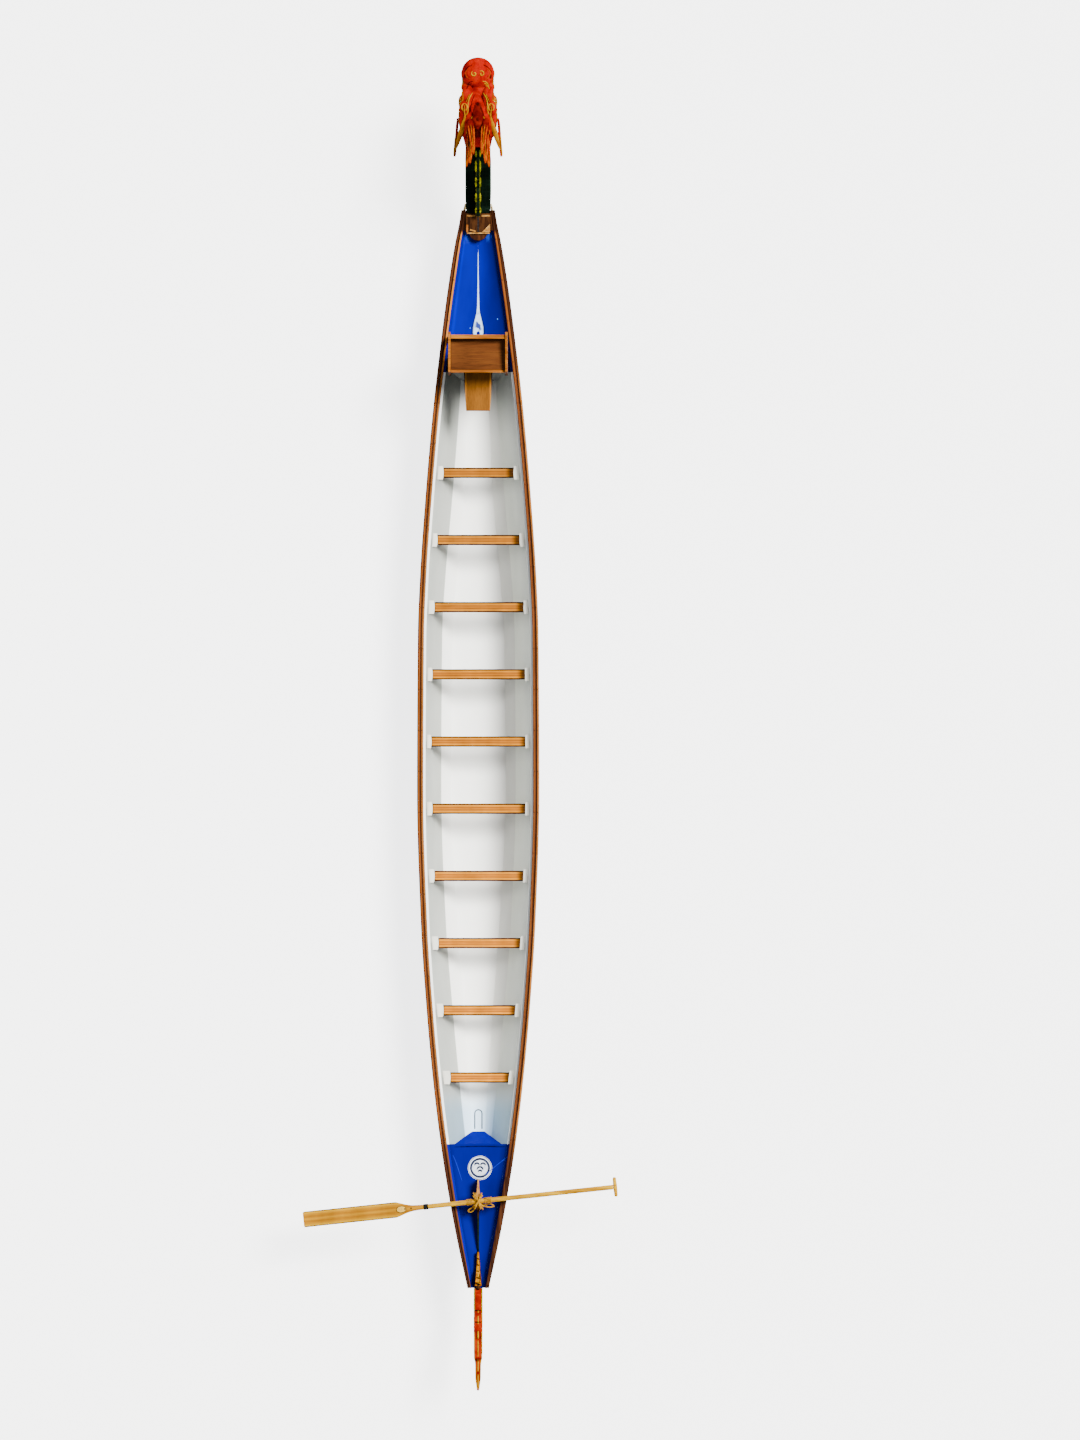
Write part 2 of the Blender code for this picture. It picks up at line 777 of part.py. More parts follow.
def head():
    red = paint("head_red", RED, 0.22)
    skull = to_object("dragon_head", head_solid(SKULL_ROWS), red)
    nose = cutter(ball((7.545, 0.0, 1.706), (0.146, 0.183, 0.094)), "nose_ball")
    carve(skull, nose, "UNION")
    to_object("lower_jaw", head_solid(JAW_ROWS, drop=SEAT_GAP), red)
    tongue_outline = [
        (7.520, 1.243), (7.560, 1.300), (7.500, 1.345), (7.440, 1.330),
        (7.400, 1.400), (7.340, 1.385), (7.260, 1.330), (7.250, 1.247),
        (7.340, 1.240), (7.440, 1.243),
    ]
    tongue_outline = [(x, z + SEAT_GAP) for x, z in tongue_outline]
    to_object("tongue", board(tongue_outline, 0.05), paint("tongue_red", RED, 0.4))
    skull_tool = cutter(head_solid(SKULL_ROWS, grow=0.0005), "skull_tool")
    manes(red, skull_tool)
    collars(red)


# Mane strands of one side: root, bend, tip and root width, as (x, z)
STRANDS = (
    ((6.97, 1.800), (6.78, 2.020), (6.600, 2.188), 0.095),
    ((6.90, 1.720), (6.66, 1.940), (6.500, 2.095), 0.100),
    ((6.84, 1.640), (6.62, 1.740), (6.470, 1.835), 0.085),
)


def strand_outline(root, bend, tip, width, steps=16):
    left, right = [], []
    centre = [root, *bezier(root, bend, tip, steps)]
    for i, point in enumerate(centre):
        t = i / steps
        ahead = centre[min(i + 1, steps)]
        behind = centre[max(i - 1, 0)]
        dx, dz = ahead[0] - behind[0], ahead[1] - behind[1]
        length = math.hypot(dx, dz)
        nx, nz = -dz / length, dx / length
        wave = 0.014 * math.sin(2 * math.pi * 2.2 * t) * min(1, 3 * t)
        half = 0.5 * width * (1 - t) ** 0.7 + 0.004
        left.append((point[0] + nx * (wave + half), point[1] + nz * (wave + half)))
        right.append((point[0] + nx * (wave - half), point[1] + nz * (wave - half)))
    return left + right[::-1]


def manes(red, skull_tool):
    for name, side in (("port", 1), ("starboard", -1)):
        root = block((6.80, -0.02, 1.52), (6.96, 0.02, 1.78))
        mane = to_object(f"mane_{name}", root, red, (0, side * 0.085, 0))
        for i, (start, bend, tip, width) in enumerate(STRANDS):
            outline = strand_outline(start, bend, tip, width)
            splay = (i - 1) * 0.045
            solid = board(
                outline, 0.016,
                lambda x, z, s=splay, x0=start[0]: side * s * (x0 - x) / 0.4,
            )
            tool = cutter(solid, f"mane_{name}_strand_{i + 1}")
            tool.location = (0, side * 0.085, 0)
            carve(mane, tool, "UNION")
        carve(mane, skull_tool)


# Flame collar outline of one side, from the cheek aft, as (x, z)
COLLAR = (
    (7.020, 1.130), (6.700, 1.085), (6.860, 1.190), (6.640, 1.185), (6.840, 1.290),
    (6.600, 1.325), (6.820, 1.400), (6.590, 1.445), (6.840, 1.520), (7.020, 1.560),
)


def collars(red):
    def flare(x, z):
        return 0.075 * ((7.02 - x) / 0.4) ** 1.3 if x < 7.02 else 0.0

    for name, side in (("port", 1), ("starboard", -1)):
        centre = 0.212 + WALL_GAP + 0.012
        solid = board(
            COLLAR, 0.012,
            lambda x, z, s=side: s * (centre + flare(x, z)),
        )
        to_object(f"collar_{name}", solid, red)


def post():
    rings = []
    for x, half in (
        (POST_FORE, 0.006), (-4.90, POST_HALF * 0.6), (-4.96, POST_HALF),
        (-5.06, POST_HALF), (-5.14, 0.012), (POST_AFT, 0.008),
    ):
        top = POST_TOP
        if x < -5.06:
            top = POST_TOP - 0.115 * (-5.06 - x) / 0.49
        low = deck_top(x) + SEAT_GAP * 2
        rings.append((x, half, low, top))
    full = []
    for x in sorted(set(span(POST_AFT, POST_FORE)) | {r[0] for r in rings}):
        full.append(post_row(x, rings))
    solid = skin(
        [[(x, h, top), (x, -h, top), (x, -h, low), (x, h, low)] for x, h, low, top in full]
    )
    to_object("oar_post", solid, paint("post_wood", WOOD_BENCH, 0.5))


def post_row(x, rows):
    rows = sorted(rows)
    i = max(k for k in range(len(rows) - 1) if rows[k][0] <= x)
    (x0, h0, l0, t0), (x1, h1, l1, t1) = rows[i], rows[i + 1]
    t = (x - x0) / (x1 - x0)
    return x, h0 + t * (h1 - h0), deck_top(x) + SEAT_GAP * 2, t0 + t * (t1 - t0)


def oar_frame():
    # Local +Y runs to the blade; the yaw turns it aft of straight across.
    return (0, 0, OAR_YAW)


def rod(radius, low, high, count=16):
    rings = []
    for y in (low, high):
        ring = []
        for i in range(count):
            angle = 2 * math.pi * i / count
            ring.append((radius * math.cos(angle), y, radius * math.sin(angle)))
        rings.append(ring)
    return skin(rings)


def lashing():
    rope = paint("lashing_rope", ROPE, 0.8)
    roll_z = -(SHAFT_RADIUS + 0.0008 + LASH_ROLL)
    rings = []
    for x in (-LASH_ROLL_HALF, LASH_ROLL_HALF):
        ring = []
        for i in range(16):
            angle = 2 * math.pi * i / 16
            ring.append(
                (x, LASH_ROLL * math.cos(angle), roll_z + LASH_ROLL * math.sin(angle))
            )
        rings.append(ring)
    lash = to_object("oar_lashing", skin(rings), rope, PIVOT, oar_frame())
    bm = bmesh.new()
    major = SHAFT_RADIUS + LASH_PLAY + LASH_LOOP
    circle = []
    for i in range(8):
        angle = 2 * math.pi * i / 8
        circle.append(
            bm.verts.new(
                (major + LASH_LOOP * math.cos(angle), LASH_LOOP * math.sin(angle), 0)
            )
        )
    edges = [bm.edges.new((a, b)) for a, b in zip(circle, circle[1:] + circle[:1])]
    bmesh.ops.spin(
        bm, geom=circle + edges, axis=(0, 1, 0), cent=(0, 0, 0),
        angle=2 * math.pi, steps=24, use_merge=True,
    )
    bmesh.ops.remove_doubles(bm, verts=bm.verts, dist=0.00005)
    loop = cutter(bm, "lashing_loop")
    loop.location = PIVOT
    loop.rotation_euler = oar_frame()
    carve(lash, loop, "UNION")


def oar():
    wood = paint("oar_wood", WOOD_OAR, 0.35)
    blade_root = OAR_BLADE_TIP - OAR_BLADE_LENGTH - OAR_BLADE_NECK
    grip_face = -(OAR_GRIP_END - 2 * GRIP_RADIUS)
    shaft = rod(SHAFT_RADIUS, grip_face + SEAT_GAP, blade_root - SEAT_GAP)
    to_object("oar_shaft", shaft, wood, PIVOT, oar_frame())
    rings = []
    half_thick = OAR_BLADE_THICK / 2
    for y, half_width, thick in (
        (blade_root, SHAFT_RADIUS, SHAFT_RADIUS * 0.8),
        (blade_root + 0.12, 0.034, 0.018),
        (blade_root + OAR_BLADE_NECK, OAR_BLADE_WIDTH / 2, half_thick),
        (OAR_BLADE_TIP - 0.02, OAR_BLADE_WIDTH / 2, half_thick * 0.6),
        (OAR_BLADE_TIP, OAR_BLADE_WIDTH / 2 - 0.015, half_thick * 0.5),
    ):
        rings.append(
            [(half_width, y, 0), (half_width * 0.7, y, thick), (-half_width * 0.7, y, thick),
             (-half_width, y, 0), (-half_width * 0.7, y, -thick),
             (half_width * 0.7, y, -thick)]
        )
    to_object("oar_blade", skin(rings), wood, PIVOT, oar_frame())
    grip = bmesh.new()
    bmesh.ops.create_cone(
        grip, segments=16, cap_ends=True, radius1=GRIP_RADIUS, radius2=GRIP_RADIUS,
        depth=GRIP_LENGTH,
    )
    turn = Matrix.Rotation(math.pi / 2, 4, "Y")
    shift = Matrix.Translation((0, grip_face - GRIP_RADIUS, 0))
    bmesh.ops.transform(grip, matrix=shift @ turn, verts=grip.verts)
    to_object("oar_grip", grip, wood, PIVOT, oar_frame())
    band()


def band():
    count = 16
    inner = SHAFT_RADIUS + SEAT_GAP
    outer = SHAFT_RADIUS + 0.006
    bm = bmesh.new()
    profile = [
        (inner, BAND_AT - BAND_LENGTH / 2), (outer, BAND_AT - BAND_LENGTH / 2),
        (outer, BAND_AT + BAND_LENGTH / 2), (inner, BAND_AT + BAND_LENGTH / 2),
    ]
    rows = []
    for i in range(count):
        angle = 2 * math.pi * i / count
        rows.append(
            [bm.verts.new((r * math.cos(angle), y, r * math.sin(angle))) for r, y in profile]
        )
    for i in range(count):
        here, there = rows[i], rows[(i + 1) % count]
        for k in range(4):
            n = (k + 1) % 4
            bm.faces.new((here[k], here[n], there[n], there[k]))
    dark = paint("band_dark", (0.02, 0.015, 0.01, 1), 0.5)
    to_object("oar_band", bm, dark, PIVOT, oar_frame())


# Tail outline from its root on the stern, along the lower edge to the tip and back
TAIL_FLAME = (
    (-6.135, 0.622), (-6.277, 0.688), (-6.358, 0.693), (-6.441, 0.761), (-6.564, 0.798),
    (-6.550, 0.838), (-6.704, 0.824), (-6.790, 0.907), (-6.734, 0.902), (-6.823, 0.925),
    (-6.896, 0.970), (-6.823, 0.975), (-6.787, 1.006), (-6.905, 1.069), (-6.946, 1.125),
    (-6.968, 1.180), (-7.110, 1.250), (-6.968, 1.234), (-6.905, 1.198), (-6.850, 1.134),
    (-6.723, 1.106), (-6.710, 1.125), (-6.762, 1.189), (-6.741, 1.211), (-6.614, 1.180),
    (-6.540, 1.110), (-6.496, 0.998), (-6.528, 1.075), (-6.413, 1.043), (-6.358, 0.969),
    (-6.300, 0.940), (-6.350, 1.011), (-6.277, 0.988), (-6.215, 0.925), (-6.135, 0.868),
)
TAIL_CURL = (
    (-6.135, 0.872), (-6.128, 0.905), (-6.160, 0.925), (-6.205, 0.930), (-6.222, 0.979),
    (-6.190, 0.975), (-6.121, 0.947), (-6.032, 0.868), (-6.0, 0.86),
)


def tail():
    green = paint("tail_green", GREEN, 0.3)
    red = paint("tail_red", RED, 0.25)
    stern = STERN_X - SEAT_GAP
    base = [
        (stern, 0.668), (-6.030, 0.600), (-6.1347, 0.6215), *TAIL_CURL, (stern, 0.86),
    ]
    to_object("tail_base", board(base, TAIL_HALF), green)
    to_object("tail_flame", board(list(TAIL_FLAME), TAIL_HALF), red)
    root_line = [x for x in span(-5.955, -5.58)]
    root = [(x, deck_top(x) + 2 * SEAT_GAP) for x in root_line]
    root += [
        (-5.58, 0.870), (-5.760, 0.890), (-5.800, 0.935), (-5.860, 0.972),
        (-5.915, 0.975), (-5.905, 0.925), (-5.955, 0.905),
    ]
    to_object("tail_root", board(root, TAIL_ROOT_HALF), green)


def main():
    clear_scene()
    hull()
    rails()
    rail_board()
    benches()
    drummer_seat()
    neck_step()
    neck_brackets()
    neck()
    crest()
    head()
    post()
    lashing()
    oar()
    tail()


main()
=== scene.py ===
import math
import bpy
import bmesh
from mathutils import Matrix, Vector
from mathutils.bvhtree import BVHTree


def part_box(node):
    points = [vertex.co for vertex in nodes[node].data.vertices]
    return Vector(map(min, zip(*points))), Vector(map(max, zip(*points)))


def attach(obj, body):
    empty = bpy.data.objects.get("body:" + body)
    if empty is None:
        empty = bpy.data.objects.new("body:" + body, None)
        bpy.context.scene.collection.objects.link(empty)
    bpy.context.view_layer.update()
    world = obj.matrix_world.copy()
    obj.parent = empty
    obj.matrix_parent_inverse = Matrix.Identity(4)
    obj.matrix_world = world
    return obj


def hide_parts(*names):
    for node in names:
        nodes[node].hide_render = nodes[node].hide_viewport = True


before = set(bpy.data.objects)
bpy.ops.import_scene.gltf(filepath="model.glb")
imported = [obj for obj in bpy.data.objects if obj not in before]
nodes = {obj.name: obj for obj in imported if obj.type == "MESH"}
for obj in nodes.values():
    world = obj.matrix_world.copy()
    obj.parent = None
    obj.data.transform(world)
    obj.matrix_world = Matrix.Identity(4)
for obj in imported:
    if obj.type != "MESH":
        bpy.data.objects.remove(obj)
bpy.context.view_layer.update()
bothSides = ((1, "Port"), (-1, "Starboard"))
upwards = (0, 0, 1)


# small tools for making pieces
def addPiece(name, bm, materials, body="boat", replaces=(), smooth=35):
    mesh = bpy.data.meshes.new(name)
    bm.to_mesh(mesh)
    bm.free()
    for material in materials:
        mesh.materials.append(material)
    mesh.shade_smooth()
    if smooth is not None:
        mesh.set_sharp_from_angle(angle=math.radians(smooth))
    piece = bpy.data.objects.new(name, mesh)
    bpy.context.scene.collection.objects.link(piece)
    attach(piece, body)
    if replaces:
        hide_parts(*replaces)
    return piece


def softenEdges(piece, width, segments=3, angle=30):
    bevel = piece.modifiers.new("softEdges", "BEVEL")
    bevel.width = width
    bevel.segments = segments
    bevel.limit_method = "ANGLE"
    bevel.angle_limit = math.radians(angle)
    bevel.harden_normals = True
    piece.data.shade_smooth()
    return piece


def pointValues(mesh, name, values):  # a number for every vertex
    mesh.attributes.new(name, "FLOAT", "POINT").data.foreach_set("value", values)


def paintFaces(piece, index, test):  # another material on the faces that the test picks
    for polygon in piece.data.polygons:
        if test(polygon.normal, polygon.center):
            polygon.material_index = index


def nodeCopy(name):  # a merged copy of the frame's mesh, flat faces joined again
    bm = bmesh.new()
    bm.from_mesh(nodes[name].data)
    bmesh.ops.remove_doubles(bm, verts=bm.verts, dist=0.00002)
    bmesh.ops.dissolve_limit(bm, angle_limit=math.radians(1.5), verts=bm.verts, edges=bm.edges)
    bmesh.ops.recalc_face_normals(bm, faces=bm.faces)
    for face in bm.faces:
        face.material_index = 0
    return bm


def dress(node, name, materials, width=0, segments=3, smooth=35, bm=None):
    # a node of the frame in its own shape, with a finish and soft edges
    piece = addPiece(name, bm or nodeCopy(node), materials, replaces=(node,), smooth=smooth)
    return softenEdges(piece, width, segments) if width else piece


def boxInto(bm, low, high):
    for vert in bmesh.ops.create_cube(bm, size=1)["verts"]:
        vert.co = Vector(a + (b - a) * (c + 0.5) for a, b, c in zip(low, high, vert.co))
    return bm


def closedLoft(rings, bm=None, endless=False):
    # a skin over closed rings, capped at its ends unless the last ring meets the first
    bm = bm or bmesh.new()
    rows = [[bm.verts.new(p) for p in ring] for ring in rings]
    for a, b in zip(rows, rows[1:] + rows[:1] if endless else rows[1:]):
        for k in range(len(a)):
            n = (k + 1) % len(a)
            bm.faces.new((a[k], a[n], b[n], b[k]))
    if not endless:
        bm.faces.new(rows[0])
        bm.faces.new(rows[-1][::-1])
    bmesh.ops.recalc_face_normals(bm, faces=bm.faces)
    return bm


def ellipse(cx, cy, rx, ry, count, extra=0, start=0.0):
    # flat points round an ellipse; one extra point closes it
    turns = [start + 2 * math.pi * k / count for k in range(count + extra)]
    return [(cx + rx * math.cos(turn), cy + ry * math.sin(turn)) for turn in turns]


def bulge(value, power):
    return math.copysign(abs(value) ** power, value)


def between(a, b, count, first=0.0, last=1.0):  # evenly spaced points from a to b
    shares = [first + (last - first) * k / (count - 1) for k in range(count)]
    return [tuple(p + (q - p) * t for p, q in zip(a, b)) for t in shares]


def frames(points, start):  # each point with a direction square to the line, and the line's own
    side = None
    for i, p in enumerate(points):
        ahead = (points[min(i + 1, len(points) - 1)] - points[max(i - 1, 0)]).normalized()
        if side is None:
            side = ahead.cross(Vector(start))
            if side.length < 0.01:
                side = ahead.cross(Vector((1, 0, 0)))
        side = (side - ahead * side.dot(ahead)).normalized()
        yield p, side, ahead


def tube(points, radii, sides=10, bm=None, flat=1.0):
    # a round or flattened tube along points, with closed ends
    points = [Vector(p) for p in points]
    if not hasattr(radii, "__len__"):
        radii = [radii] * len(points)
    rings = []
    for (p, side, ahead), radius in zip(frames(points, upwards), radii):
        top = side.cross(ahead)
        rings.append([p + (side * c + top * s) * max(radius, 0.0004)
                      for c, s in ellipse(0, 0, 1, flat, sides)])
    return closedLoft(rings, bm)


def smoothPath(points, steps=6):  # a smooth curve through the points
    points = [Vector(p) for p in points]
    if len(points) < 3:
        return points
    path = []
    ends = [2 * points[0] - points[1], *points, 2 * points[-1] - points[-2]]
    for a, b, c, d in zip(ends, ends[1:], ends[2:], ends[3:]):
        for k in range(steps):
            t = k / steps
            path.append(
                0.5 * (2 * b + (c - a) * t + (2 * a - 5 * b + 4 * c - d) * t * t
                       + (3 * b - a - 3 * c + d) * t ** 3)
            )
    path.append(points[-1])
    return path


# materials
def startMaterial(name):
    material = bpy.data.materials.new(name)
    material.use_nodes = True
    tree = material.node_tree
    return material, tree, tree.nodes["Principled BSDF"]


def fill(tree, node, inputs):  # sockets are linked, other values are set
    for key, value in inputs.items():
        if hasattr(value, "is_linked"):
            tree.links.new(value, node.inputs[key])
        else:
            node.inputs[key].default_value = value
    return node


def grow(tree, kind, inputs, **settings):  # a new node with its settings and inputs
    node = tree.nodes.new(kind)
    for key, value in settings.items():
        setattr(node, key, value)
    return fill(tree, node, inputs)


def objectPlace(tree):
    return tree.nodes.new("ShaderNodeTexCoord").outputs["Object"]


def objectAxes(tree):
    return grow(tree, "ShaderNodeSeparateXYZ", {0: objectPlace(tree)}).outputs


def readValues(tree, name):  # the numbers that pointValues wrote
    return grow(tree, "ShaderNodeAttribute", {}, attribute_name=name).outputs["Fac"]


def objectNoise(tree, stretch, scale, detail=4, rough=0.55, distort=0.0):
    mapping = grow(tree, "ShaderNodeMapping", {"Scale": stretch, "Vector": objectPlace(tree)})
    return grow(tree, "ShaderNodeTexNoise", {
        "Scale": scale, "Detail": detail, "Roughness": rough, "Distortion": distort,
        "Vector": mapping.outputs["Vector"],
    }).outputs["Fac"]


def ramp(tree, source, stops):
    node = grow(tree, "ShaderNodeValToRGB", {"Fac": source})
    elements = node.color_ramp.elements
    while len(elements) < len(stops):
        elements.new(0.5)
    for element, (place, colour) in zip(elements, stops):
        element.position = place
        element.color = (*colour[:3], 1) if hasattr(colour, "__len__") else (colour, colour, colour, 1)
    return node.outputs["Color"]


def mixColours(tree, a, b, factor, mode="MIX"):
    node = grow(tree, "ShaderNodeMix", {}, data_type="RGBA", blend_type=mode)
    a, b = ((*value[:3], 1) if hasattr(value, "__len__") and not hasattr(value, "is_linked") else value
            for value in (a, b))
    return fill(tree, node, {6: a, 7: b, 0: factor}).outputs[2]


def tinted(tree, colour, tone, factor=1.0):
    return mixColours(tree, colour, tone, factor, "MULTIPLY")


def rangeOf(tree, value, low, high, start=0.0, end=1.0, kind="SMOOTHSTEP"):
    inputs = {0: value, 1: low, 2: high, 3: start, 4: end}
    return grow(tree, "ShaderNodeMapRange", inputs, interpolation_type=kind).outputs[0]


def combine(tree, a, b, operation="MULTIPLY"):
    return grow(tree, "ShaderNodeMath", {0: a, 1: b}, operation=operation).outputs[0]


def addBump(tree, shader, height, strength, distance):
    bump = grow(tree, "ShaderNodeBump", {"Strength": strength, "Distance": distance, "Height": height})
    tree.links.new(bump.outputs["Normal"], shader.inputs["Normal"])


def grainStretch(grain, along, across):
    return [along if axis == grain else across for axis in "XYZ"]


def woodMaterial(name, dark, mid, light, grain="X", scale=1.0):
    material, tree, shader = startMaterial(name)
    stretch = grainStretch(grain, 0.9 * scale, 14.0 * scale)
    figure = objectNoise(tree, stretch, 1.6, 6, 0.6, 0.8)
    base = ramp(tree, figure, [(0.30, dark), (0.48, mid), (0.62, light), (0.78, mid)])
    fine = objectNoise(tree, [v * 5 for v in stretch], 1.9, 5, 0.7, 0.3)
    colour = tinted(tree, base, ramp(tree, fine, [(0.36, 0.45), (0.5, 1.0), (0.7, 1.12)]), 0.75)
    patches = objectNoise(tree, (1, 1, 1), 1.7 * scale, 2)
    colour = tinted(tree, colour, ramp(tree, patches, [(0.35, 0.82), (0.65, 1.1)]))
    gloss = ramp(tree, fine, [(0.3, 0.68), (0.65, 0.46)])
    fill(tree, shader, {"Base Color": colour, "Roughness": gloss, "Specular IOR Level": 0.02})
    addBump(tree, shader, fine, 0.25, 0.002)
    return material


def gelcoatMaterial(name, colour, shade, roughness=0.35, paintedShade=None, gloss=0.12):
    material, tree, shader = startMaterial(name)
    cloud = objectNoise(tree, (0.6, 1.4, 1.4), 2.2, 3)
    tint = ramp(tree, cloud, [(0.35, shade), (0.65, colour)])
    scuffs = objectNoise(tree, (2, 30, 9), 1.8, 6, 0.75, 1.2)
    tint = tinted(tree, tint, ramp(tree, scuffs, [(0.60, 1.0), (0.70, 1.06)]))
    if paintedShade:  # greyer towards starboard, where the inside lies in the side's soft shade
        # painted shade across the boat; the walls' arguments make them greyer towards port instead
        x, y, z = objectAxes(tree)
        tint = tinted(tree, tint, rangeOf(tree, y, *paintedShade))
        # painted shade below the drummer's seat, and a painted bluish reflection towards the stern
        tint = tinted(tree, tint, rangeOf(tree, x, 3.45, 4.20, 1.0, 0.40))
        # soft shade on the floor just aft of each bench
        benchShadow = combine(tree, combine(tree, combine(tree, x, -1.0), 3.10, "ADD"), 0.749, "DIVIDE")
        benchShadow = ramp(tree, combine(tree, benchShadow, 0.0, "FRACT"), [
            (0.0, 0.76), (0.10, 0.68), (0.22, 0.90), (0.32, 1.0), (0.96, 1.0), (1.0, 0.88)])
        tint = tinted(tree, tint, combine(tree, benchShadow, rangeOf(tree, x, 3.10, 3.20, 0, 1), "MAXIMUM"))
        paintedBlueReflection = mixColours(tree, (0.60, 0.78, 0.98), (1, 1, 1), rangeOf(tree, x, -4.05, -3.70))
        tint = tinted(tree, tint, paintedBlueReflection)
    sheen = ramp(tree, scuffs, [(0.40, roughness), (0.75, roughness + 0.14)])
    fill(tree, shader, {"Base Color": tint, "Roughness": sheen, "Specular IOR Level": gloss})
    addBump(tree, shader, objectNoise(tree, (1, 2.2, 2.2), 3.0, 2), 0.05, 0.01)
    return material


def paintMaterial(name, dark, mid, light, roughness=0.3, scale=9.0, metallic=0.0, bump=0.15):
    # brushed paint over carving: darker in some places, worn lighter in others
    material, tree, shader = startMaterial(name)
    cloud = objectNoise(tree, (1, 1, 1), scale, 5, 0.6, 0.4)
    base = ramp(tree, cloud, [(0.32, dark), (0.5, mid), (0.7, light)])
    fine = objectNoise(tree, (1, 1, 1), scale * 9, 3, 0.6)
    colour = tinted(tree, base, ramp(tree, fine, [(0.35, 0.78), (0.6, 1.08)]))
    gloss = ramp(tree, fine, [(0.3, roughness + 0.12), (0.7, roughness)])
    fill(tree, shader, {"Base Color": colour, "Roughness": gloss, "Metallic": metallic, "Specular IOR Level": 0})
    addBump(tree, shader, fine, bump, 0.003)
    return material


hullBlue = gelcoatMaterial("hullBlueGelcoat", (0.0004, 0.0012, 0.150), (0.0003, 0.0008, 0.100), 0.24, gloss=0.012)
deckBlue = gelcoatMaterial("deckBlueGelcoat", (0.0002, 0.0004, 0.200), (0.0002, 0.0003, 0.150), 0.42, gloss=0.003)
whiteGelcoat = ((0.94, 0.94, 0.90), (0.90, 0.90, 0.86))
hullWhite = gelcoatMaterial("insideWhiteGelcoat", *whiteGelcoat, paintedShade=(-0.34, 0.10, 0.50, 1.0))
# the inside's white gelcoat made greyer for the walls: painted shade
wallShadedWhite = gelcoatMaterial("wallShadedGelcoat", (0.56, 0.58, 0.53), (0.50, 0.52, 0.48), paintedShade=(-0.3, 0.3, 1.0, 0.72))
lipWhite = gelcoatMaterial("lipWhiteGelcoat", *whiteGelcoat)
# a grey that stands for the shade under the drummer's seat: painted shade, used on the fore bulkhead
shadeGrey = gelcoatMaterial("bulkheadShadeGrey", (0.16, 0.165, 0.155), (0.11, 0.115, 0.11))
railDark = woodMaterial("railDarkWood", (0.008, 0.0022, 0.0010), (0.028, 0.0078, 0.0026), (0.064, 0.019, 0.005))
railLight = woodMaterial("railLightWood", (0.075, 0.019, 0.003), (0.165, 0.044, 0.006), (0.30, 0.10, 0.018))
seatWood = woodMaterial("seatWood", (0.052, 0.0145, 0.0028), (0.070, 0.0200, 0.0040), (0.090, 0.028, 0.0055), "Y", 0.6)
seatSideWood = woodMaterial("seatSideWood", (0.034, 0.009, 0.0025), (0.066, 0.019, 0.005), (0.110, 0.036, 0.009), "Z")
seatBeamWood = woodMaterial("seatBeamWood", (0.13, 0.034, 0.003), (0.22, 0.062, 0.005), (0.32, 0.110, 0.009), "Y")
stepWood = woodMaterial(
    "stepCarvedWood", (0.008, 0.0025, 0.0010), (0.024, 0.0075, 0.0022), (0.052, 0.018, 0.0045), "X", 1.6)
oarWood = woodMaterial("oarWood", (0.20, 0.075, 0.0006), (0.34, 0.16, 0.0010), (0.44, 0.25, 0.004), "Y")
dragonGreen = paintMaterial(
    "dragonGreenPaint", (0.0010, 0.0022, 0.0014), (0.0020, 0.0052, 0.0028), (0.004, 0.014, 0.006))
dragonRed = paintMaterial("dragonRedPaint", (0.095, 0.0008, 0.0003), (0.22, 0.0020, 0.0003), (0.29, 0.010, 0.0004))
deepRed = paintMaterial("deepRedPaint", (0.014, 0.001, 0.001), (0.050, 0.0022, 0.0015), (0.100, 0.004, 0.002))
goldPaint = paintMaterial("goldPaint", (0.10, 0.022, 0.0002), (0.21, 0.074, 0.0002), (0.31, 0.150, 0.0004), 0.3, 14)
flameOrange = paintMaterial(
    "flameOrange", (0.12, 0.006, 0.0003), (0.24, 0.026, 0.0003), (0.34, 0.070, 0.0005), 0.3, 18)
yellowPaint = paintMaterial(
    "yellowPaint", (0.20, 0.070, 0.0002), (0.29, 0.140, 0.0002), (0.34, 0.19, 0.0004), 0.35, 14)
blackPaint = paintMaterial("blackPaint", (0.001, 0.001, 0.001), (0.003, 0.0028, 0.0025), (0.008, 0.007, 0.006))
eyeWhite = paintMaterial("eyeWhitePaint", (0.55, 0.52, 0.44), (0.80, 0.77, 0.68), (0.88, 0.86, 0.80), 0.2)
toothWhite = paintMaterial("toothPaint", (0.34, 0.22, 0.06), (0.55, 0.40, 0.16), (0.70, 0.58, 0.34))
stepTrimGold = paintMaterial("stepTrimGold", (0.12, 0.045, 0.008), (0.27, 0.12, 0.028), (0.42, 0.24, 0.07), 0.4, 30)
plateCream = paintMaterial("creamPlate", (0.30, 0.20, 0.07), (0.52, 0.40, 0.19), (0.66, 0.55, 0.32), 0.35, 20)
darkBolt = paintMaterial(
    "darkBolt", (0.004, 0.004, 0.0045), (0.010, 0.010, 0.011), (0.024, 0.024, 0.026), 0.4, 60, 0.3)
bandBlack = paintMaterial("rubberBand", (0.003, 0.003, 0.003), (0.007, 0.0065, 0.006), (0.014, 0.014, 0.014), 0.6, 30)
stickerWhite = paintMaterial("stickerWhite", (0.42, 0.46, 0.55), (0.56, 0.60, 0.68), (0.66, 0.70, 0.76), 0.35, 30)
stickerGrey = paintMaterial(
    "stickerGrey", (0.008, 0.011, 0.026), (0.014, 0.019, 0.042), (0.030, 0.038, 0.07), 0.35, 30)
motifYellow = paintMaterial("waveMotifYellow", (0.26, 0.12, 0.002), (0.40, 0.22, 0.004), (0.48, 0.30, 0.02), 0.35, 20)
print("materials ready")


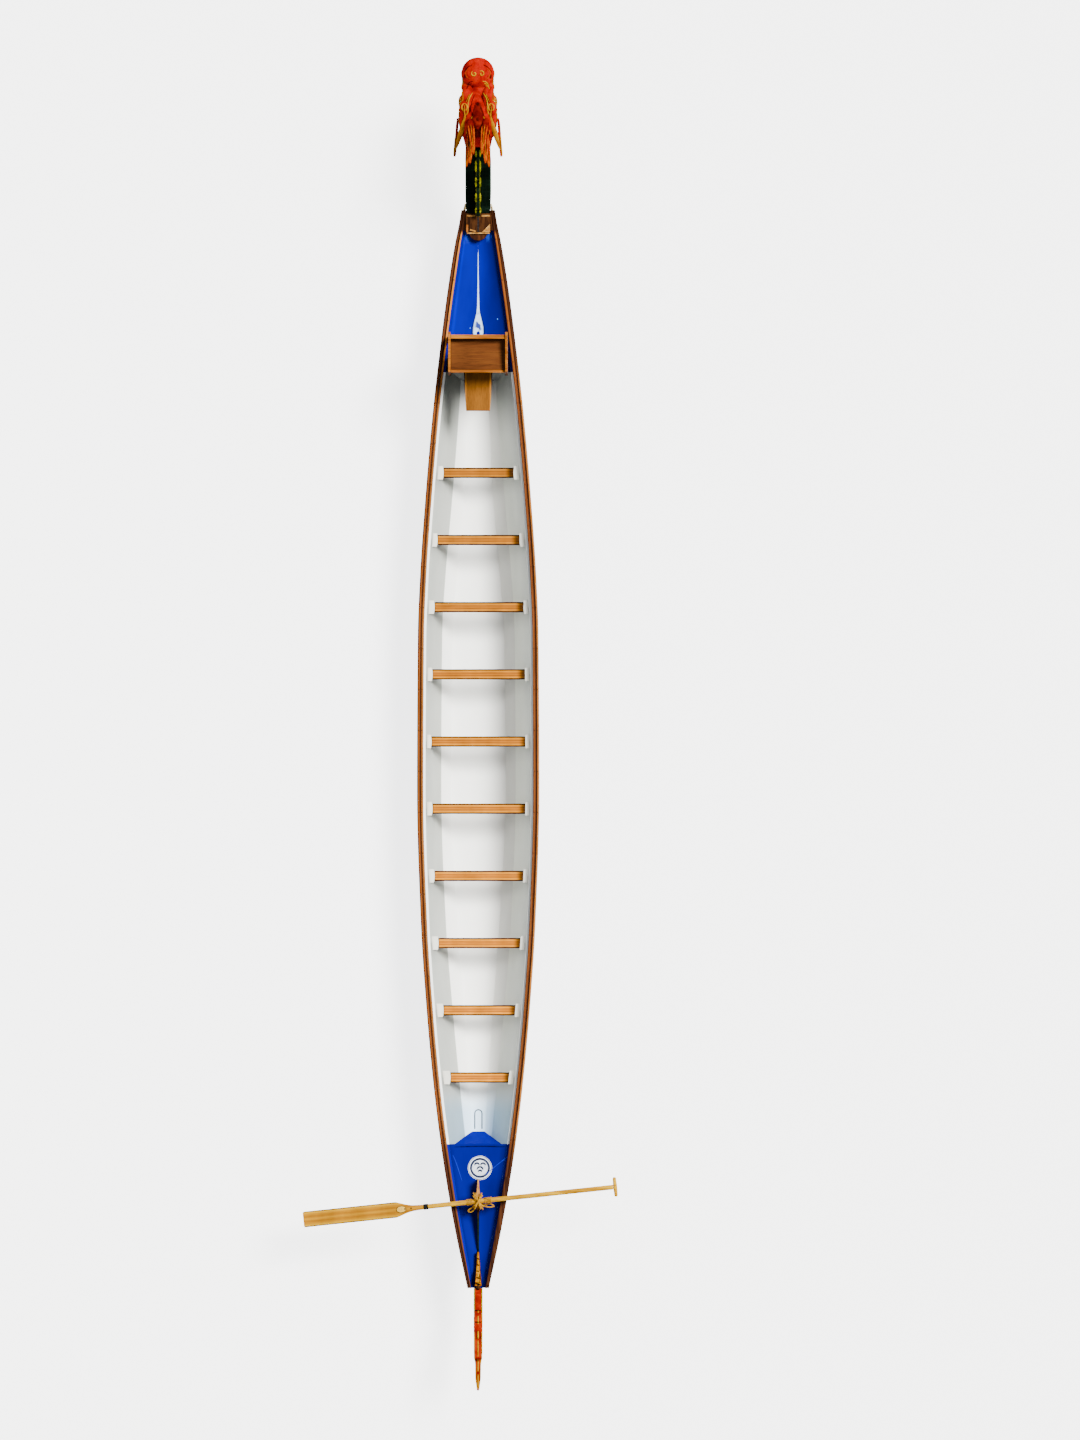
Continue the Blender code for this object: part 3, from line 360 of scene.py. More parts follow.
# hull shell
# place along the boat, then keel height, bottom half, chine height, chine half,
# sheer height, rail half and rail width
hullLines = {
    "rows": (
        (6.02, 0.485, 0.030, 0.510, 0.100, 0.856, 0.187, 0.040),
        (5.85, 0.445, 0.035, 0.478, 0.120, 0.797, 0.216, 0.054),
        (5.69, 0.412, 0.042, 0.462, 0.140, 0.782, 0.250, 0.062),
        (5.25, 0.328, 0.055, 0.425, 0.170, 0.769, 0.323, 0.070),
        (4.60, 0.235, 0.080, 0.365, 0.197, 0.752, 0.410, 0.070),
        (3.80, 0.135, 0.115, 0.297, 0.240, 0.730, 0.503, 0.070),
        (2.80, 0.052, 0.160, 0.240, 0.320, 0.711, 0.590, 0.070),
        (1.95, 0.000, 0.236, 0.200, 0.394, 0.701, 0.648, 0.070),
        (1.30, 0.000, 0.280, 0.184, 0.430, 0.697, 0.673, 0.070),
        (-0.45, 0.000, 0.300, 0.184, 0.440, 0.695, 0.682, 0.070),
        (-1.90, 0.039, 0.230, 0.226, 0.390, 0.706, 0.640, 0.070),
        (-2.90, 0.100, 0.155, 0.268, 0.312, 0.728, 0.574, 0.070),
        (-3.70, 0.175, 0.105, 0.315, 0.235, 0.748, 0.500, 0.070),
        (-4.40, 0.258, 0.065, 0.366, 0.160, 0.766, 0.414, 0.070),
        (-5.00, 0.355, 0.045, 0.395, 0.100, 0.785, 0.319, 0.066),
        (-5.45, 0.450, 0.035, 0.482, 0.070, 0.811, 0.234, 0.058),
        (-5.98, 0.630, 0.030, 0.660, 0.052, 0.845, 0.120, 0.042),
    ),
    "skin": 0.020,
    "lip": 0.025,
    "overhang": 0.012,
    "stationStep": 0.10,
    "bilgeRound": 0.016,
}


def monotone(xs, ys):
    order = sorted(range(len(xs)), key=lambda i: xs[i])
    xs, ys = [xs[i] for i in order], [ys[i] for i in order]
    steps = [b - a for a, b in zip(xs, xs[1:])]
    slopes = [(b - a) / h for a, b, h in zip(ys, ys[1:], steps)]
    tangents = [slopes[0]]
    for (h0, h1), (s0, s1) in zip(zip(steps, steps[1:]), zip(slopes, slopes[1:])):
        w0, w1 = 2 * h1 + h0, h1 + 2 * h0
        tangents.append(0.0 if s0 * s1 <= 0 else (w0 + w1) / (w0 / s0 + w1 / s1))
    tangents.append(slopes[-1])

    def read(x):
        x = min(max(x, xs[0]), xs[-1])
        i = max(k for k in range(len(steps)) if xs[k] <= x)
        h = steps[i]
        t = (x - xs[i]) / h
        return (
            (1 + 2 * t) * (1 - t) ** 2 * ys[i] + t * (1 - t) ** 2 * h * tangents[i]
            + t * t * (3 - 2 * t) * ys[i + 1] + t * t * (t - 1) * h * tangents[i + 1]
        )

    return read


lineNames = ("keel", "bottom", "chine", "chineHalf", "sheer", "rail", "railWidth")
stations, *lineValues = zip(*hullLines["rows"])
lineReaders = {name: monotone(stations, values) for name, values in zip(lineNames, lineValues)}


def hullAt(name, x):
    return lineReaders[name](x)


def lipHalf(x):
    return hullAt("rail", x) - hullAt("railWidth", x) - hullLines["lip"]


def innerWall(x, z):  # half width of the inside above the chine
    low = hullAt("chine", x)
    share = (z - low) / (hullAt("sheer", x) - low)
    inner = hullAt("chineHalf", x) - hullLines["skin"]
    return inner + share * (lipHalf(x) - inner)


def outerWall(x, z):
    low = hullAt("chine", x)
    share = min(max((z - low) / (hullAt("sheer", x) - low), 0.0), 1.0)
    outer = hullAt("chineHalf", x)
    return outer + share * (hullAt("rail", x) - hullLines["overhang"] - outer)


def floorHeight(x):
    keel = hullAt("keel", x)
    return keel + min(hullLines["skin"], 0.6 * (hullAt("chine", x) - keel))


def evenSteps(low, high, step):
    count = max(1, math.ceil((high - low) / step))
    return [low + (high - low) * i / count for i in range(count + 1)]


def hullRing(x):
    keel, chine, sheer = hullAt("keel", x), hullAt("chine", x), hullAt("sheer", x)
    bottom, outer = hullAt("bottom", x), hullAt("chineHalf", x)
    top = hullAt("rail", x) - hullLines["overhang"]
    inner = outer - hullLines["skin"]
    floor, floorHalf = floorHeight(x), min(bottom, inner - 0.004)
    rise, wall, slope, bilge = chine - keel, sheer - chine, outer - bottom, inner - floorHalf
    side = [  # port side, from the keel out and up, then down the inside
        (0.0, keel), (bottom - min(hullLines["bilgeRound"], bottom * 0.5), keel),
        (bottom + slope * 0.10, keel + rise * 0.085), (bottom + slope * 0.5, keel + rise * 0.49),
        (outer - slope * 0.03, chine - rise * 0.035), (outer + (top - outer) * 0.02, chine + wall * 0.025),
        (outer + (top - outer) * 0.5, chine + wall * 0.5), (top, sheer),
        (lipHalf(x) + 0.004, sheer), (lipHalf(x), sheer - 0.005),
        (innerWall(x, chine + wall * 0.5), chine + wall * 0.5), (inner + 0.0006, chine + wall * 0.02),
        (inner - bilge * 0.04, chine - (chine - floor) * 0.04),
        (floorHalf + bilge * 0.5, floor + (chine - floor) * 0.5),
        (floorHalf + bilge * 0.05, floor + (chine - floor) * 0.04), (floorHalf * 0.93, floor), (0.0, floor),
    ]
    return [(x, y, z) for y, z in side] + [(x, -y, z) for y, z in side[-2:0:-1]]


def buildHull():
    bm = closedLoft([hullRing(x) for x in evenSteps(-5.98, 6.02, hullLines["stationStep"])])
    for face in bm.faces:
        middle = face.calc_center_median()
        x = min(max(middle.x, -5.979), 6.019)
        keel, chine, sheer = hullAt("keel", x), hullAt("chine", x), hullAt("sheer", x)
        if middle.z > chine:
            half = (outerWall(x, middle.z) + innerWall(x, middle.z)) / 2
            inside = abs(middle.y) < half or middle.z > sheer - 0.004
        else:
            share = (middle.z - keel) / max(chine - keel, 0.001)
            outer = hullAt("bottom", x) + share * (hullAt("chineHalf", x) - hullAt("bottom", x))
            inside = middle.z > floorHeight(x) - 0.004 and abs(middle.y) < outer - 0.006
        inside = inside and abs(face.normal.x) <= 0.7
        face.material_index = 1 if inside else 0
        if inside and chine < middle.z < sheer - 0.02:
            face.material_index = 2
        if inside and middle.z > sheer - 0.02:  # lip inside the rails, blue beside the decks, dark at the bow
            face.material_index = 5 if middle.x > 5.79 else 4 if -4.40 < middle.x < 4.24 else 3
    floors = ["hull_floor_" + word for word in ("bow", "fore", "mid", "aft", "post", "stern")]
    walls = [f"hull_{part}_{word}" for part in ("bilge", "side") for word in ("port", "starboard")]
    addPiece("hullShell", bm, [hullBlue, hullWhite, wallShadedWhite, deckBlue, lipWhite, railDark],
             replaces=floors + walls, smooth=28)


buildHull()
print("hull ready")


# rails
railSizes = {"height": 0.067, "lift": 0.0003, "groove": 0.003, "round": 0.008, "step": 0.08}


def acrossWood(name, stops, grain="X", streak=0.6, waver=0.10, rise=None, shadedEnd=False):
    # colours across the board come from the attribute across, grain runs along it;
    # three lists of stops are blended from the stern over the middle to the bow
    stretch = grainStretch(grain, 0.7, 22)
    material, tree, shader = startMaterial(name)
    figure = objectNoise(tree, stretch, 1.5, 6, 0.6, 0.7)
    shift = grow(tree, "ShaderNodeMath", {0: figure, 1: waver, 2: -waver / 2}, operation="MULTIPLY_ADD")
    total = combine(tree, readValues(tree, "across"), shift.outputs[0], "ADD")
    x = objectAxes(tree)[0]
    if isinstance(stops[0], list):
        stern, middle, bow = (ramp(tree, total, part) for part in stops)
        base = mixColours(tree, stern, middle, rangeOf(tree, x, -4.7, -4.0))
        base = mixColours(tree, base, bow, rangeOf(tree, x, 3.9, 4.5))
        base = mixColours(tree, base, (0.022, 0.006, 0.0022), rangeOf(tree, x, 5.74, 5.80))
    else:
        base = ramp(tree, total, stops)
    if rise:  # lighter towards one end of the boat
        base = tinted(tree, base, rangeOf(tree, x, *rise))
    if shadedEnd:  # the benches, shaded at their starboard ends
        base = tinted(tree, base, rangeOf(tree, readValues(tree, "toEnd"), 0.035, 0.110, 0.14, 1.0))
    fine = objectNoise(tree, [v * 4 for v in stretch], 1.7, 5, 0.7)
    patches = objectNoise(tree, (0.9, 3, 3), 1.6, 3)
    colour = tinted(tree, base, ramp(tree, fine, [(0.35, 0.62), (0.55, 1.05)]), streak)
    colour = tinted(tree, colour, ramp(tree, patches, [(0.35, 0.84), (0.65, 1.12)]))
    gloss = ramp(tree, fine, [(0.3, 0.62), (0.65, 0.42)])
    fill(tree, shader, {"Base Color": colour, "Roughness": gloss, "Specular IOR Level": 0.02})
    addBump(tree, shader, fine, 0.2, 0.002)
    return material


# colours from the outer to the inner edge of each rail, for the stern, the middle and the bow: the wood's own tone
# with painted highlight and shade, so port and starboard differ as the light falls
edgeBrown, lineBrown, coffee = (0.011, 0.003, 0.0012), (0.024, 0.0068, 0.0026), (0.032, 0.0085, 0.0030)
chestnut, orangeBrown = (0.075, 0.0215, 0.0056), (0.165, 0.044, 0.0062)
lightOrange, paleOrange = (0.27, 0.092, 0.015), (0.44, 0.15, 0.022)
railToneAndLight = {
    "outwale_port": [
        [(0.0, edgeBrown), (0.28, coffee), (0.60, coffee), (0.95, lineBrown)],
        [(0.0, edgeBrown), (0.22, lineBrown), (0.34, orangeBrown), (0.66, orangeBrown), (0.80, chestnut),
         (0.95, lineBrown)],
        [(0.0, edgeBrown), (0.25, lineBrown), (0.40, chestnut), (0.82, (0.066, 0.018, 0.0056)), (0.96, lineBrown)]],
    "inwale_port": [
        [(0.0, lineBrown), (0.30, coffee), (0.48, chestnut), (0.85, (0.085, 0.030, 0.009)), (1.0, edgeBrown)],
        [(0.0, lineBrown), (0.14, chestnut), (0.40, (0.10, 0.036, 0.008)), (0.58, lightOrange),
         (0.80, (0.20, 0.065, 0.014)), (1.0, coffee)],
        [(0.0, edgeBrown), (0.22, lineBrown), (0.42, paleOrange), (0.78, paleOrange), (0.96, edgeBrown)]],
    "outwale_starboard": [
        [(0.0, edgeBrown), (0.30, lineBrown), (0.70, coffee), (0.95, coffee)],
        [(0.0, coffee), (0.16, lightOrange), (0.48, lightOrange), (0.66, lineBrown), (0.95, lineBrown)],
        [(0.0, edgeBrown), (0.25, coffee), (0.60, (0.035, 0.0105, 0.004)), (0.95, (0.05, 0.014, 0.005))]],
    "inwale_starboard": [
        [(0.0, coffee), (0.40, (0.048, 0.015, 0.006)), (0.80, coffee), (1.0, edgeBrown)],
        [(0.0, chestnut), (0.30, chestnut), (0.55, orangeBrown), (0.76, (0.12, 0.034, 0.0058)),
         (0.90, lineBrown), (1.0, edgeBrown)],
        [(0.0, (0.058, 0.0163, 0.005)), (0.25, orangeBrown), (0.60, (0.19, 0.048, 0.006)), (0.80, chestnut),
         (1.0, edgeBrown)]],
}


def railLoft(nodeName, side, outer, inner):
    # outer and inner are the shares of the rail's width at which the strip's edges lie
    edge = railSizes["round"]
    bends = [(edge * (1 - math.cos(math.pi / 6 * k)), edge * (1 - math.sin(math.pi / 6 * k)), 0.05 * k)
             for k in (1, 2, 3)]
    rings, marks = [], []
    for x in evenSteps(-5.98, 6.02, railSizes["step"]):
        low = hullAt("sheer", x) + railSizes["lift"]
        high = low + railSizes["height"]
        a = hullAt("rail", x) - hullAt("railWidth", x) * outer
        b = hullAt("rail", x) - hullAt("railWidth", x) * inner
        if outer:
            a -= railSizes["groove"]
        section = [(a, low, 0.0), (a, high - edge, 0.0)]
        section += [(a - away, high - down, 0.06 + mark) for away, down, mark in bends]
        section.append(((a + b) / 2, high, 0.5))
        section += [(b + away, high - down, 0.94 - mark) for away, down, mark in bends[::-1]]
        section += [(b, high - edge, 1.0), (b, low, 1.0)]
        rings.append([(x, side * y, z) for y, z, _ in section])
        marks += [m for _, _, m in section]
    piece = addPiece(
        nodeName.replace("_", "") + "Wood", closedLoft(rings), [acrossWood(nodeName + "Finish", railToneAndLight[nodeName])],
        replaces=(nodeName,), smooth=50,
    )
    pointValues(piece.data, "across", marks)


for side, word in bothSides:
    railLoft("outwale_" + word.lower(), side, 0, 0.5)
    railLoft("inwale_" + word.lower(), side, 0.5, 1)
print("rails ready")


# decks
deckSizes = {"dip": 0.050, "skin": 0.014, "gap": 0.0009, "step": 0.08, "power": 1.7}


def deckHeight(x, y):
    wide = lipHalf(x) - deckSizes["gap"]
    dip = deckSizes["dip"] * min(1.0, lipHalf(x) / 0.2)
    share = min(abs(y) / wide, 1.0)
    return hullAt("sheer", x) - dip * (1 - share ** deckSizes["power"])


deckMarks = {
    # half width of the painted reflection streak in the valley, along the boat
    "reflectionFrom": 4.60, "reflectionTo": 5.60,
    "streak": ((4.60, 0.0), (4.625, 0.055), (4.66, 0.062), (4.72, 0.060), (4.80, 0.042), (4.88, 0.020),
               (4.95, 0.013), (5.10, 0.009), (5.30, 0.0055), (5.54, 0.003), (5.58, 0.0)),
    # pale is the painted reflection's colour; under is the painted shade where the deck runs under the seat
    "pale": (0.40, 0.56, 0.80), "under": (4.60, 4.66, 0.07, 1.0),
    "patch": (5.62, 5.74),
}


def deckMaterial(name, paintsReflection):
    # painted shade across the deck, darkest on the starboard side; the fore deck also has a painted
    # highlight line along its port edge, a painted reflection streak down its valley, and the patches beside the neck
    # step
    material, tree, shader = startMaterial(name)
    cloud = objectNoise(tree, (0.6, 1.4, 1.4), 2.2, 3)
    tint = ramp(tree, cloud, [(0.35, (0.0002, 0.0003, 0.145)), (0.65, (0.0002, 0.0005, 0.20))])
    shade = ramp(tree, readValues(tree, "across"), [
        (0.0, 0.40), (0.12, 0.52), (0.30, 0.78), (0.42, 1.0), (0.92, 1.05), (0.955, 1.45), (1.0, 1.2)]
        if paintsReflection else [(0.0, 0.34), (0.12, 0.62), (0.40, 0.72), (0.60, 0.66), (0.92, 0.62), (1.0, 0.45)])
    colour = tinted(tree, tint, shade)
    if paintsReflection:
        x, y, z = objectAxes(tree)
        low, high = deckMarks["reflectionFrom"], deckMarks["reflectionTo"]
        wide = ramp(tree, rangeOf(tree, x, low, high, kind="LINEAR"),
                    [((at - low) / (high - low), half * 10) for at, half in deckMarks["streak"]])
        away = combine(tree, combine(tree, y, 0.0, "ABSOLUTE"), 10.0)
        share = combine(tree, away, combine(tree, wide, 0.001, "ADD"), "DIVIDE")
        # a dark rim round the painted reflection near the seat
        rim = combine(tree, rangeOf(tree, share, 1.35, 1.05, 0, 0.8), rangeOf(tree, x, 4.90, 4.94, 1, 0))
        colour = mixColours(tree, colour, (0.0006, 0.002, 0.030), rim)
        # the painted reflection: pale blue-white, mottled where it widens near the seat
        mottle = rangeOf(tree, objectNoise(tree, (1, 1, 1), 13.0, 2), 0.47, 0.56, 0.0, 0.95)
        mottle = combine(tree, mottle, rangeOf(tree, x, 4.82, 4.92, 1, 0))
        mottle = combine(tree, mottle, rangeOf(tree, share, 0.30, 0.80, 1, 0.15))
        pale = mixColours(tree, deckMarks["pale"], (0.004, 0.012, 0.16), mottle)
        colour = mixColours(tree, colour, pale, rangeOf(tree, share, 0.72, 1.05, 1, 0))
        # painted shade where the deck runs under the seat
        colour = tinted(tree, colour, rangeOf(tree, x, *deckMarks["under"]))
        ripple = objectNoise(tree, (3, 6, 1), 3.0, 2)
        patch = combine(tree, rangeOf(tree, x, *deckMarks["patch"]), rangeOf(tree, ripple, 0.46, 0.62, 0, 0.5))
        colour = mixColours(tree, colour, (0.02, 0.06, 0.42), patch)
    gloss = ramp(tree, objectNoise(tree, (2, 30, 9), 1.8, 6, 0.75, 1.2), [(0.40, 0.42), (0.75, 0.55)])
    fill(tree, shader, {"Base Color": colour, "Roughness": gloss, "Specular IOR Level": 0.003})
    addBump(tree, shader, objectNoise(tree, (1, 2.2, 2.2), 3.0, 2), 0.06, 0.01)
    return material


def buildDeck(nodeName, aft, fore):
    name = nodeName.replace("_d", "D")
    row = [1 - k / 24 for k in range(25)]
    rings, marks = [], []
    for x in evenSteps(aft, fore, deckSizes["step"]):
        wide = lipHalf(x) - deckSizes["gap"]
        ys = [wide * k / 12 for k in range(12, -13, -1)]
        top = [(x, y, deckHeight(x, y)) for y in ys]
        under = [(x, y * 0.97, deckHeight(x, y) - deckSizes["skin"]) for y in reversed(ys)]
        rings.append(top + under)
        marks += row + row[::-1]
    piece = addPiece(name + "Gelcoat", closedLoft(rings), [deckMaterial(name + "Blue", nodeName == "fore_deck")],
                     replaces=(nodeName,), smooth=40)
    pointValues(piece.data, "across", marks)


buildDeck("fore_deck", 4.22, 6.02)
buildDeck("aft_deck", -5.98, -4.38)
# the fore bulkhead in painted shade grey instead of its gelcoat colour
dress("fore_bulkhead", "foreBulkheadGelcoat", [shadeGrey], 0.006)
dress("aft_bulkhead", "aftBulkheadGelcoat", [deckBlue], 0.006)
dress("bow_plate", "bowPlateGelcoat", [hullBlue])
dress("stern_plate", "sternPlateGelcoat", [hullBlue])
print("decks ready")


# light, floor and camera
studio = {
    "pixel": 0.01114,        # metres to a pixel of the photo at the height of the rails
    "bow": 750.9,            # the photo's row of the boat's origin
    "centre": 478.2,         # the photo's column of the centreline
    "lens": 400.0,
    "railHeight": 0.76,
    "floorSize": 160.0,
}


def photoPoint(u, v, z=0.0):
    return Vector(((studio["bow"] - v) * studio["pixel"], (studio["centre"] - u) * studio["pixel"], z))


def place(item, name, where, turn):
    holder = bpy.data.objects.new(name, item)
    holder.location, holder.rotation_euler = where, turn
    bpy.context.scene.collection.objects.link(holder)
    return holder


def aimed(way):
    return Vector(way).to_track_quat("-Z", "Y").to_euler()


def buildStudio():
    scene = bpy.context.scene
    camera = bpy.data.cameras.new("topCamera")
    camera.sensor_width, camera.lens, camera.clip_end = 36, studio["lens"], 1000
    distance = 1440 * studio["pixel"] * studio["lens"] / camera.sensor_width
    eye = photoPoint(540, 720, studio["railHeight"] + distance)
    scene.camera = place(camera, "topCamera", eye, (0, 0, -math.pi / 2))
    world = bpy.data.worlds.new("studioAir")
    world.use_nodes = True
    fill(world.node_tree, world.node_tree.nodes["Background"], {"Color": (0.93, 0.96, 1.0, 1), "Strength": 0.30})
    scene.world = world
    for name, where, aim, along, across, power, colour in (
        ("stripLight", (0.3, 0.0, 12.0), (0.3, 0.0, 0.0), 15.0, 0.45, 260, (0.8, 0.9, 1)),
        ("fillLight", (-1.0, 10.0, 6.0), (-0.5, 0.0, 0.6), 12.0, 4.0, 350, (0.92, 0.96, 1)),
    ):
        lamp = bpy.data.lights.new(name, "AREA")
        lamp.shape = "RECTANGLE"
        lamp.size, lamp.size_y, lamp.energy, lamp.color = along, across, power, colour
        place(lamp, name, where, aimed(Vector(aim) - Vector(where))).visible_camera = False
    sun = bpy.data.lights.new("keyLight", "SUN")
    sun.energy, sun.angle, sun.color = 12.9, math.radians(20), (1, 0.99, 0.965)
    place(sun, "keyLight", (5.0, -9.6, 12.0), aimed((-4.2, 5.8, -11.6)))

    half = studio["floorSize"] / 2
    mesh = bpy.data.meshes.new("studioFloor")
    corners = [(x, y, -0.0005) for x, y in ((-half, -half), (half, -half), (half, half), (-half, half))]
    mesh.from_pydata(corners, [], [(0, 1, 2, 3)])
    material, tree, shader = startMaterial("paleFloor")
    fill(tree, shader, {"Base Color": (0.45, 0.45, 0.45, 1), "Roughness": 0.85,
                        "Emission Color": (1, 1, 1, 1), "Emission Strength": 3.6})
    mesh.materials.append(material)
    place(mesh, "studioFloor", (0, 0, 0), (0, 0, 0))


buildStudio()
print("studio ready")


# benches
benchSizes = {
    "first": 3.10, "pitch": 0.749, "depth": 0.115, "round": 0.004,
    # where the bare wood ends, to port and to starboard; white glass tabs cover the rest
    "bareEnds": (
        (0.392, 0.399), (0.459, 0.466), (0.492, 0.510), (0.515, 0.532), (0.526, 0.552),
        (0.515, 0.544), (0.492, 0.521), (0.448, 0.488), (0.392, 0.432), (0.314, 0.365),
    ),
    "tabRise": 0.040, "tabWide": 0.150, "tabThick": 0.004,
}
outlineBrown = (0.026, 0.0075, 0.0022)
highlightStripe, stripeMid = (0.40, 0.150, 0.007), (0.30, 0.095, 0.004)
stripeDark, stripeInner = (0.12, 0.034, 0.002), (0.28, 0.086, 0.004)
# colours across each bench top; the light stripes near both edges are painted highlights
benchFinish = acrossWood("benchFinish", [
    (0.0, outlineBrown), (0.125, outlineBrown), (0.15, highlightStripe), (0.32, stripeMid), (0.38, stripeDark),
    (0.44, stripeInner), (0.56, stripeInner), (0.62, stripeDark), (0.68, stripeMid), (0.85, highlightStripe),
    (0.875, outlineBrown), (1.0, outlineBrown),
], "Y", 0.75, 0.05, (-4.0, 3.0, 1.6, 0.98), shadedEnd=True)
tabGlass = gelcoatMaterial("benchTabGlass", (0.66, 0.65, 0.58), (0.58, 0.57, 0.50))
lineWood = paintMaterial("outlineWood", (0.014, 0.004, 0.0014), outlineBrown, (0.045, 0.014, 0.004), 0.5, 30)


def markAcross(piece, axis):
    values = [v.co[axis] for v in piece.data.vertices]
    low, high = min(values), max(values)
    pointValues(piece.data, "across", [(v - low) / (high - low) for v in values])


def benchTab(x, top, side, bare):
    # a glass tab over the bench's end, turned up on the hull's inside
    half, rise, thick = benchSizes["tabWide"] / 2, benchSizes["tabRise"], benchSizes["tabThick"]
    rings = []
    for k in range(9):
        t = k / 8
        at = x - half + 2 * half * t
        edge = 0.010 * (2 * t - 1) ** 2  # the tab's end bows out in its middle
        wall = innerWall(at, top)
        line = [
            (bare - 0.004 + edge, top + 0.0004), (wall - 0.030, top + 0.0010), (wall - 0.012, top + 0.0050),
            (innerWall(at, top + 0.018) - 0.003, top + 0.018), (innerWall(at, top + rise) - 0.0015, top + rise),
        ]
        inside = [(y - 0.0025, z + thick * (0.35 if i in (0, 4) else 1)) for i, (y, z) in enumerate(line)]
        rings.append([(at, side * y, z) for y, z in line + inside[::-1]])
    return closedLoft(rings)


endStrips = bmesh.new()
for i, (port, starboard) in enumerate(benchSizes["bareEnds"]):
    nodeName = f"bench_{i + 1:02d}"
    bench = dress(nodeName, f"benchBoard{i + 1:02d}", [benchFinish], benchSizes["round"], 2)
    pointValues(bench.data, "toEnd", [v.co.y + starboard for v in bench.data.vertices])
    markAcross(bench, 0)
    x = benchSizes["first"] - i * benchSizes["pitch"]
    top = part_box(nodeName)[1].z
    half = benchSizes["depth"] / 2 - 0.003
    for (side, word), bare in zip(bothSides, (port, starboard)):
        boxInto(endStrips, (x - half, side * (bare - 0.012), top - 0.001),
                (x + half, side * (bare - 0.002), top + 0.0016))
        addPiece(f"benchTab{word}{i + 1:02d}", benchTab(x, top, side, bare), [tabGlass],
                 smooth=60)
bmesh.ops.recalc_face_normals(endStrips, faces=endStrips.faces)
addPiece("benchEndLines", endStrips, [lineWood])
print("benches ready")


# drummer's seat, footrest and neck step
seatSizes = {
    "round": 0.004, "half": 0.33, "boltHoles": ((4.590, 1.341), (4.367, 1.291)), "boltRadius": 0.010,
}
for nodeName, pieceName, sides, top in (
    ("seat_side_port", "seatSidePort", seatSideWood, seatBeamWood),
    ("seat_side_starboard", "seatSideStarboard", seatSideWood, seatBeamWood),
    ("seat_front_panel", "seatFrontPanel", seatBeamWood, seatBeamWood),
    ("seat_board", "seatBoard", seatWood, seatWood),
    ("seat_aft_rail", "seatAftRail", seatBeamWood, seatBeamWood),
    ("seat_cross_panel", "seatCrossPanel", seatWood, seatBeamWood),
):
    plank = dress(nodeName, pieceName, [sides, top], seatSizes["round"], 2)
    paintFaces(plank, 1, lambda normal, centre: normal.z > 0.85)
boardLight, boardDark = (0.34, 0.130, 0.014), (0.125, 0.044, 0.005)
footrestFinish = acrossWood("footrestFinish", [
    (0.0, outlineBrown), (0.055, outlineBrown), (0.07, boardLight), (0.13, boardDark), (0.50, (0.150, 0.054, 0.006)),
    (0.87, boardDark), (0.93, boardLight), (0.945, outlineBrown), (1.0, outlineBrown),
], "X", 1.0, 0.02)
markAcross(dress("footrest_board", "footrestBoard", [footrestFinish], 0.006), 1)
dress("neck_step", "neckStepBlock", [stepWood], 0.008)
dress("step_round", "neckStepRound", [railDark], 0.008)

# dark boards that close the gaps between the step and the rails
for side, word in bothSides:
    rings = []
    for x in evenSteps(5.795, 6.015, 0.05):
        low, outer = hullAt("sheer", x) + 0.0004, hullAt("rail", x) - hullAt("railWidth", x) - 0.0004
        inner, high = min(0.1385, outer - 0.008), low + 0.055
        rings.append([(x, side * y, z) for y, z in ((inner, low), (outer, low), (outer, high), (inner, high))])
    softenEdges(addPiece(f"stepSideBoard{word}", closedLoft(rings), [railDark]), 0.003, 2)


def stepTop(x):  # the step's top falls towards the stern
    return 0.875 + 0.030 * (x - 5.77) / 0.215


def inlay(name, pixels, thick, material):
    # a thin flat piece laid on the step's top; its corners are read on the photo
    outline = [photoPoint(u, v) for u, v in pixels]
    rings = [[(x, y, stepTop(x) + lift) for x, y, _ in outline] for lift in (-0.001, thick)]
    softenEdges(addPiece(name, closedLoft(rings), [material]), min(0.002, thick * 0.4), 2)


def bar(left, top, right, bottom):
    return ((left, top), (right, top), (right, bottom), (left, bottom))


stepTrims = {
    "stepForeBarPort": (bar(466.7, 215.3, 475.2, 217.0), 0.004, stepTrimGold),
    "stepForeBarStarboard": (bar(481.6, 215.3, 490.0, 217.0), 0.004, stepTrimGold),
    "stepLeftBar": (bar(466.2, 225.0, 468.2, 232.6), 0.004, railLight),
    "stepAftBar": (bar(467.0, 232.9, 489.8, 234.1), 0.004, stepTrimGold),
    "stepCorner": (((482.0, 232.5), (490.1, 224.2), (490.1, 232.5)), 0.004, stepTrimGold),
    "stepMark": (((470.2, 229.4), (476.2, 231.2), (475.6, 232.2), (470.0, 230.8)), 0.002, stepTrimGold),
    "stepGroove": (bar(477.4, 217.6, 478.9, 232.5), 0.0015, darkBolt),
}
for name, (pixels, thick, material) in stepTrims.items():
    inlay(name, pixels, thick, material)
print("seat and step ready")


# steering oar
oarSizes = {
    "pivot": (-5.01, 0.0, 1.0), "yaw": math.radians(6.0), "shaft": 0.0265,
    "bladeTip": 1.955, "bladeLength": 1.03, "bladeNeck": 0.31, "bladeHalf": 0.0875,
    "gripEnd": 1.556, "gripLength": 0.217, "gripRadius": 0.0225,
    "bandAt": 0.585, "bandLength": 0.05, "roll": 0.020, "rollHalf": 0.045, "loop": 0.012,
    "play": 0.008,
    # half width and half thickness of the blade, along it from its root
    "blade": ((0.06, 0.0290, 0.0200), (0.12, 0.0340, 0.0180), (0.19, 0.0500, 0.0155), (0.26, 0.0740, 0.0130),
              (0.31, 0.0870, 0.0120), (0.40, 0.0875, 0.0115), (0.80, 0.0875, 0.0095), (1.20, 0.0875, 0.0078),
              (1.32, 0.0875, 0.0072), (1.334, 0.0845, 0.0066), (1.34, 0.0720, 0.0050)),
}
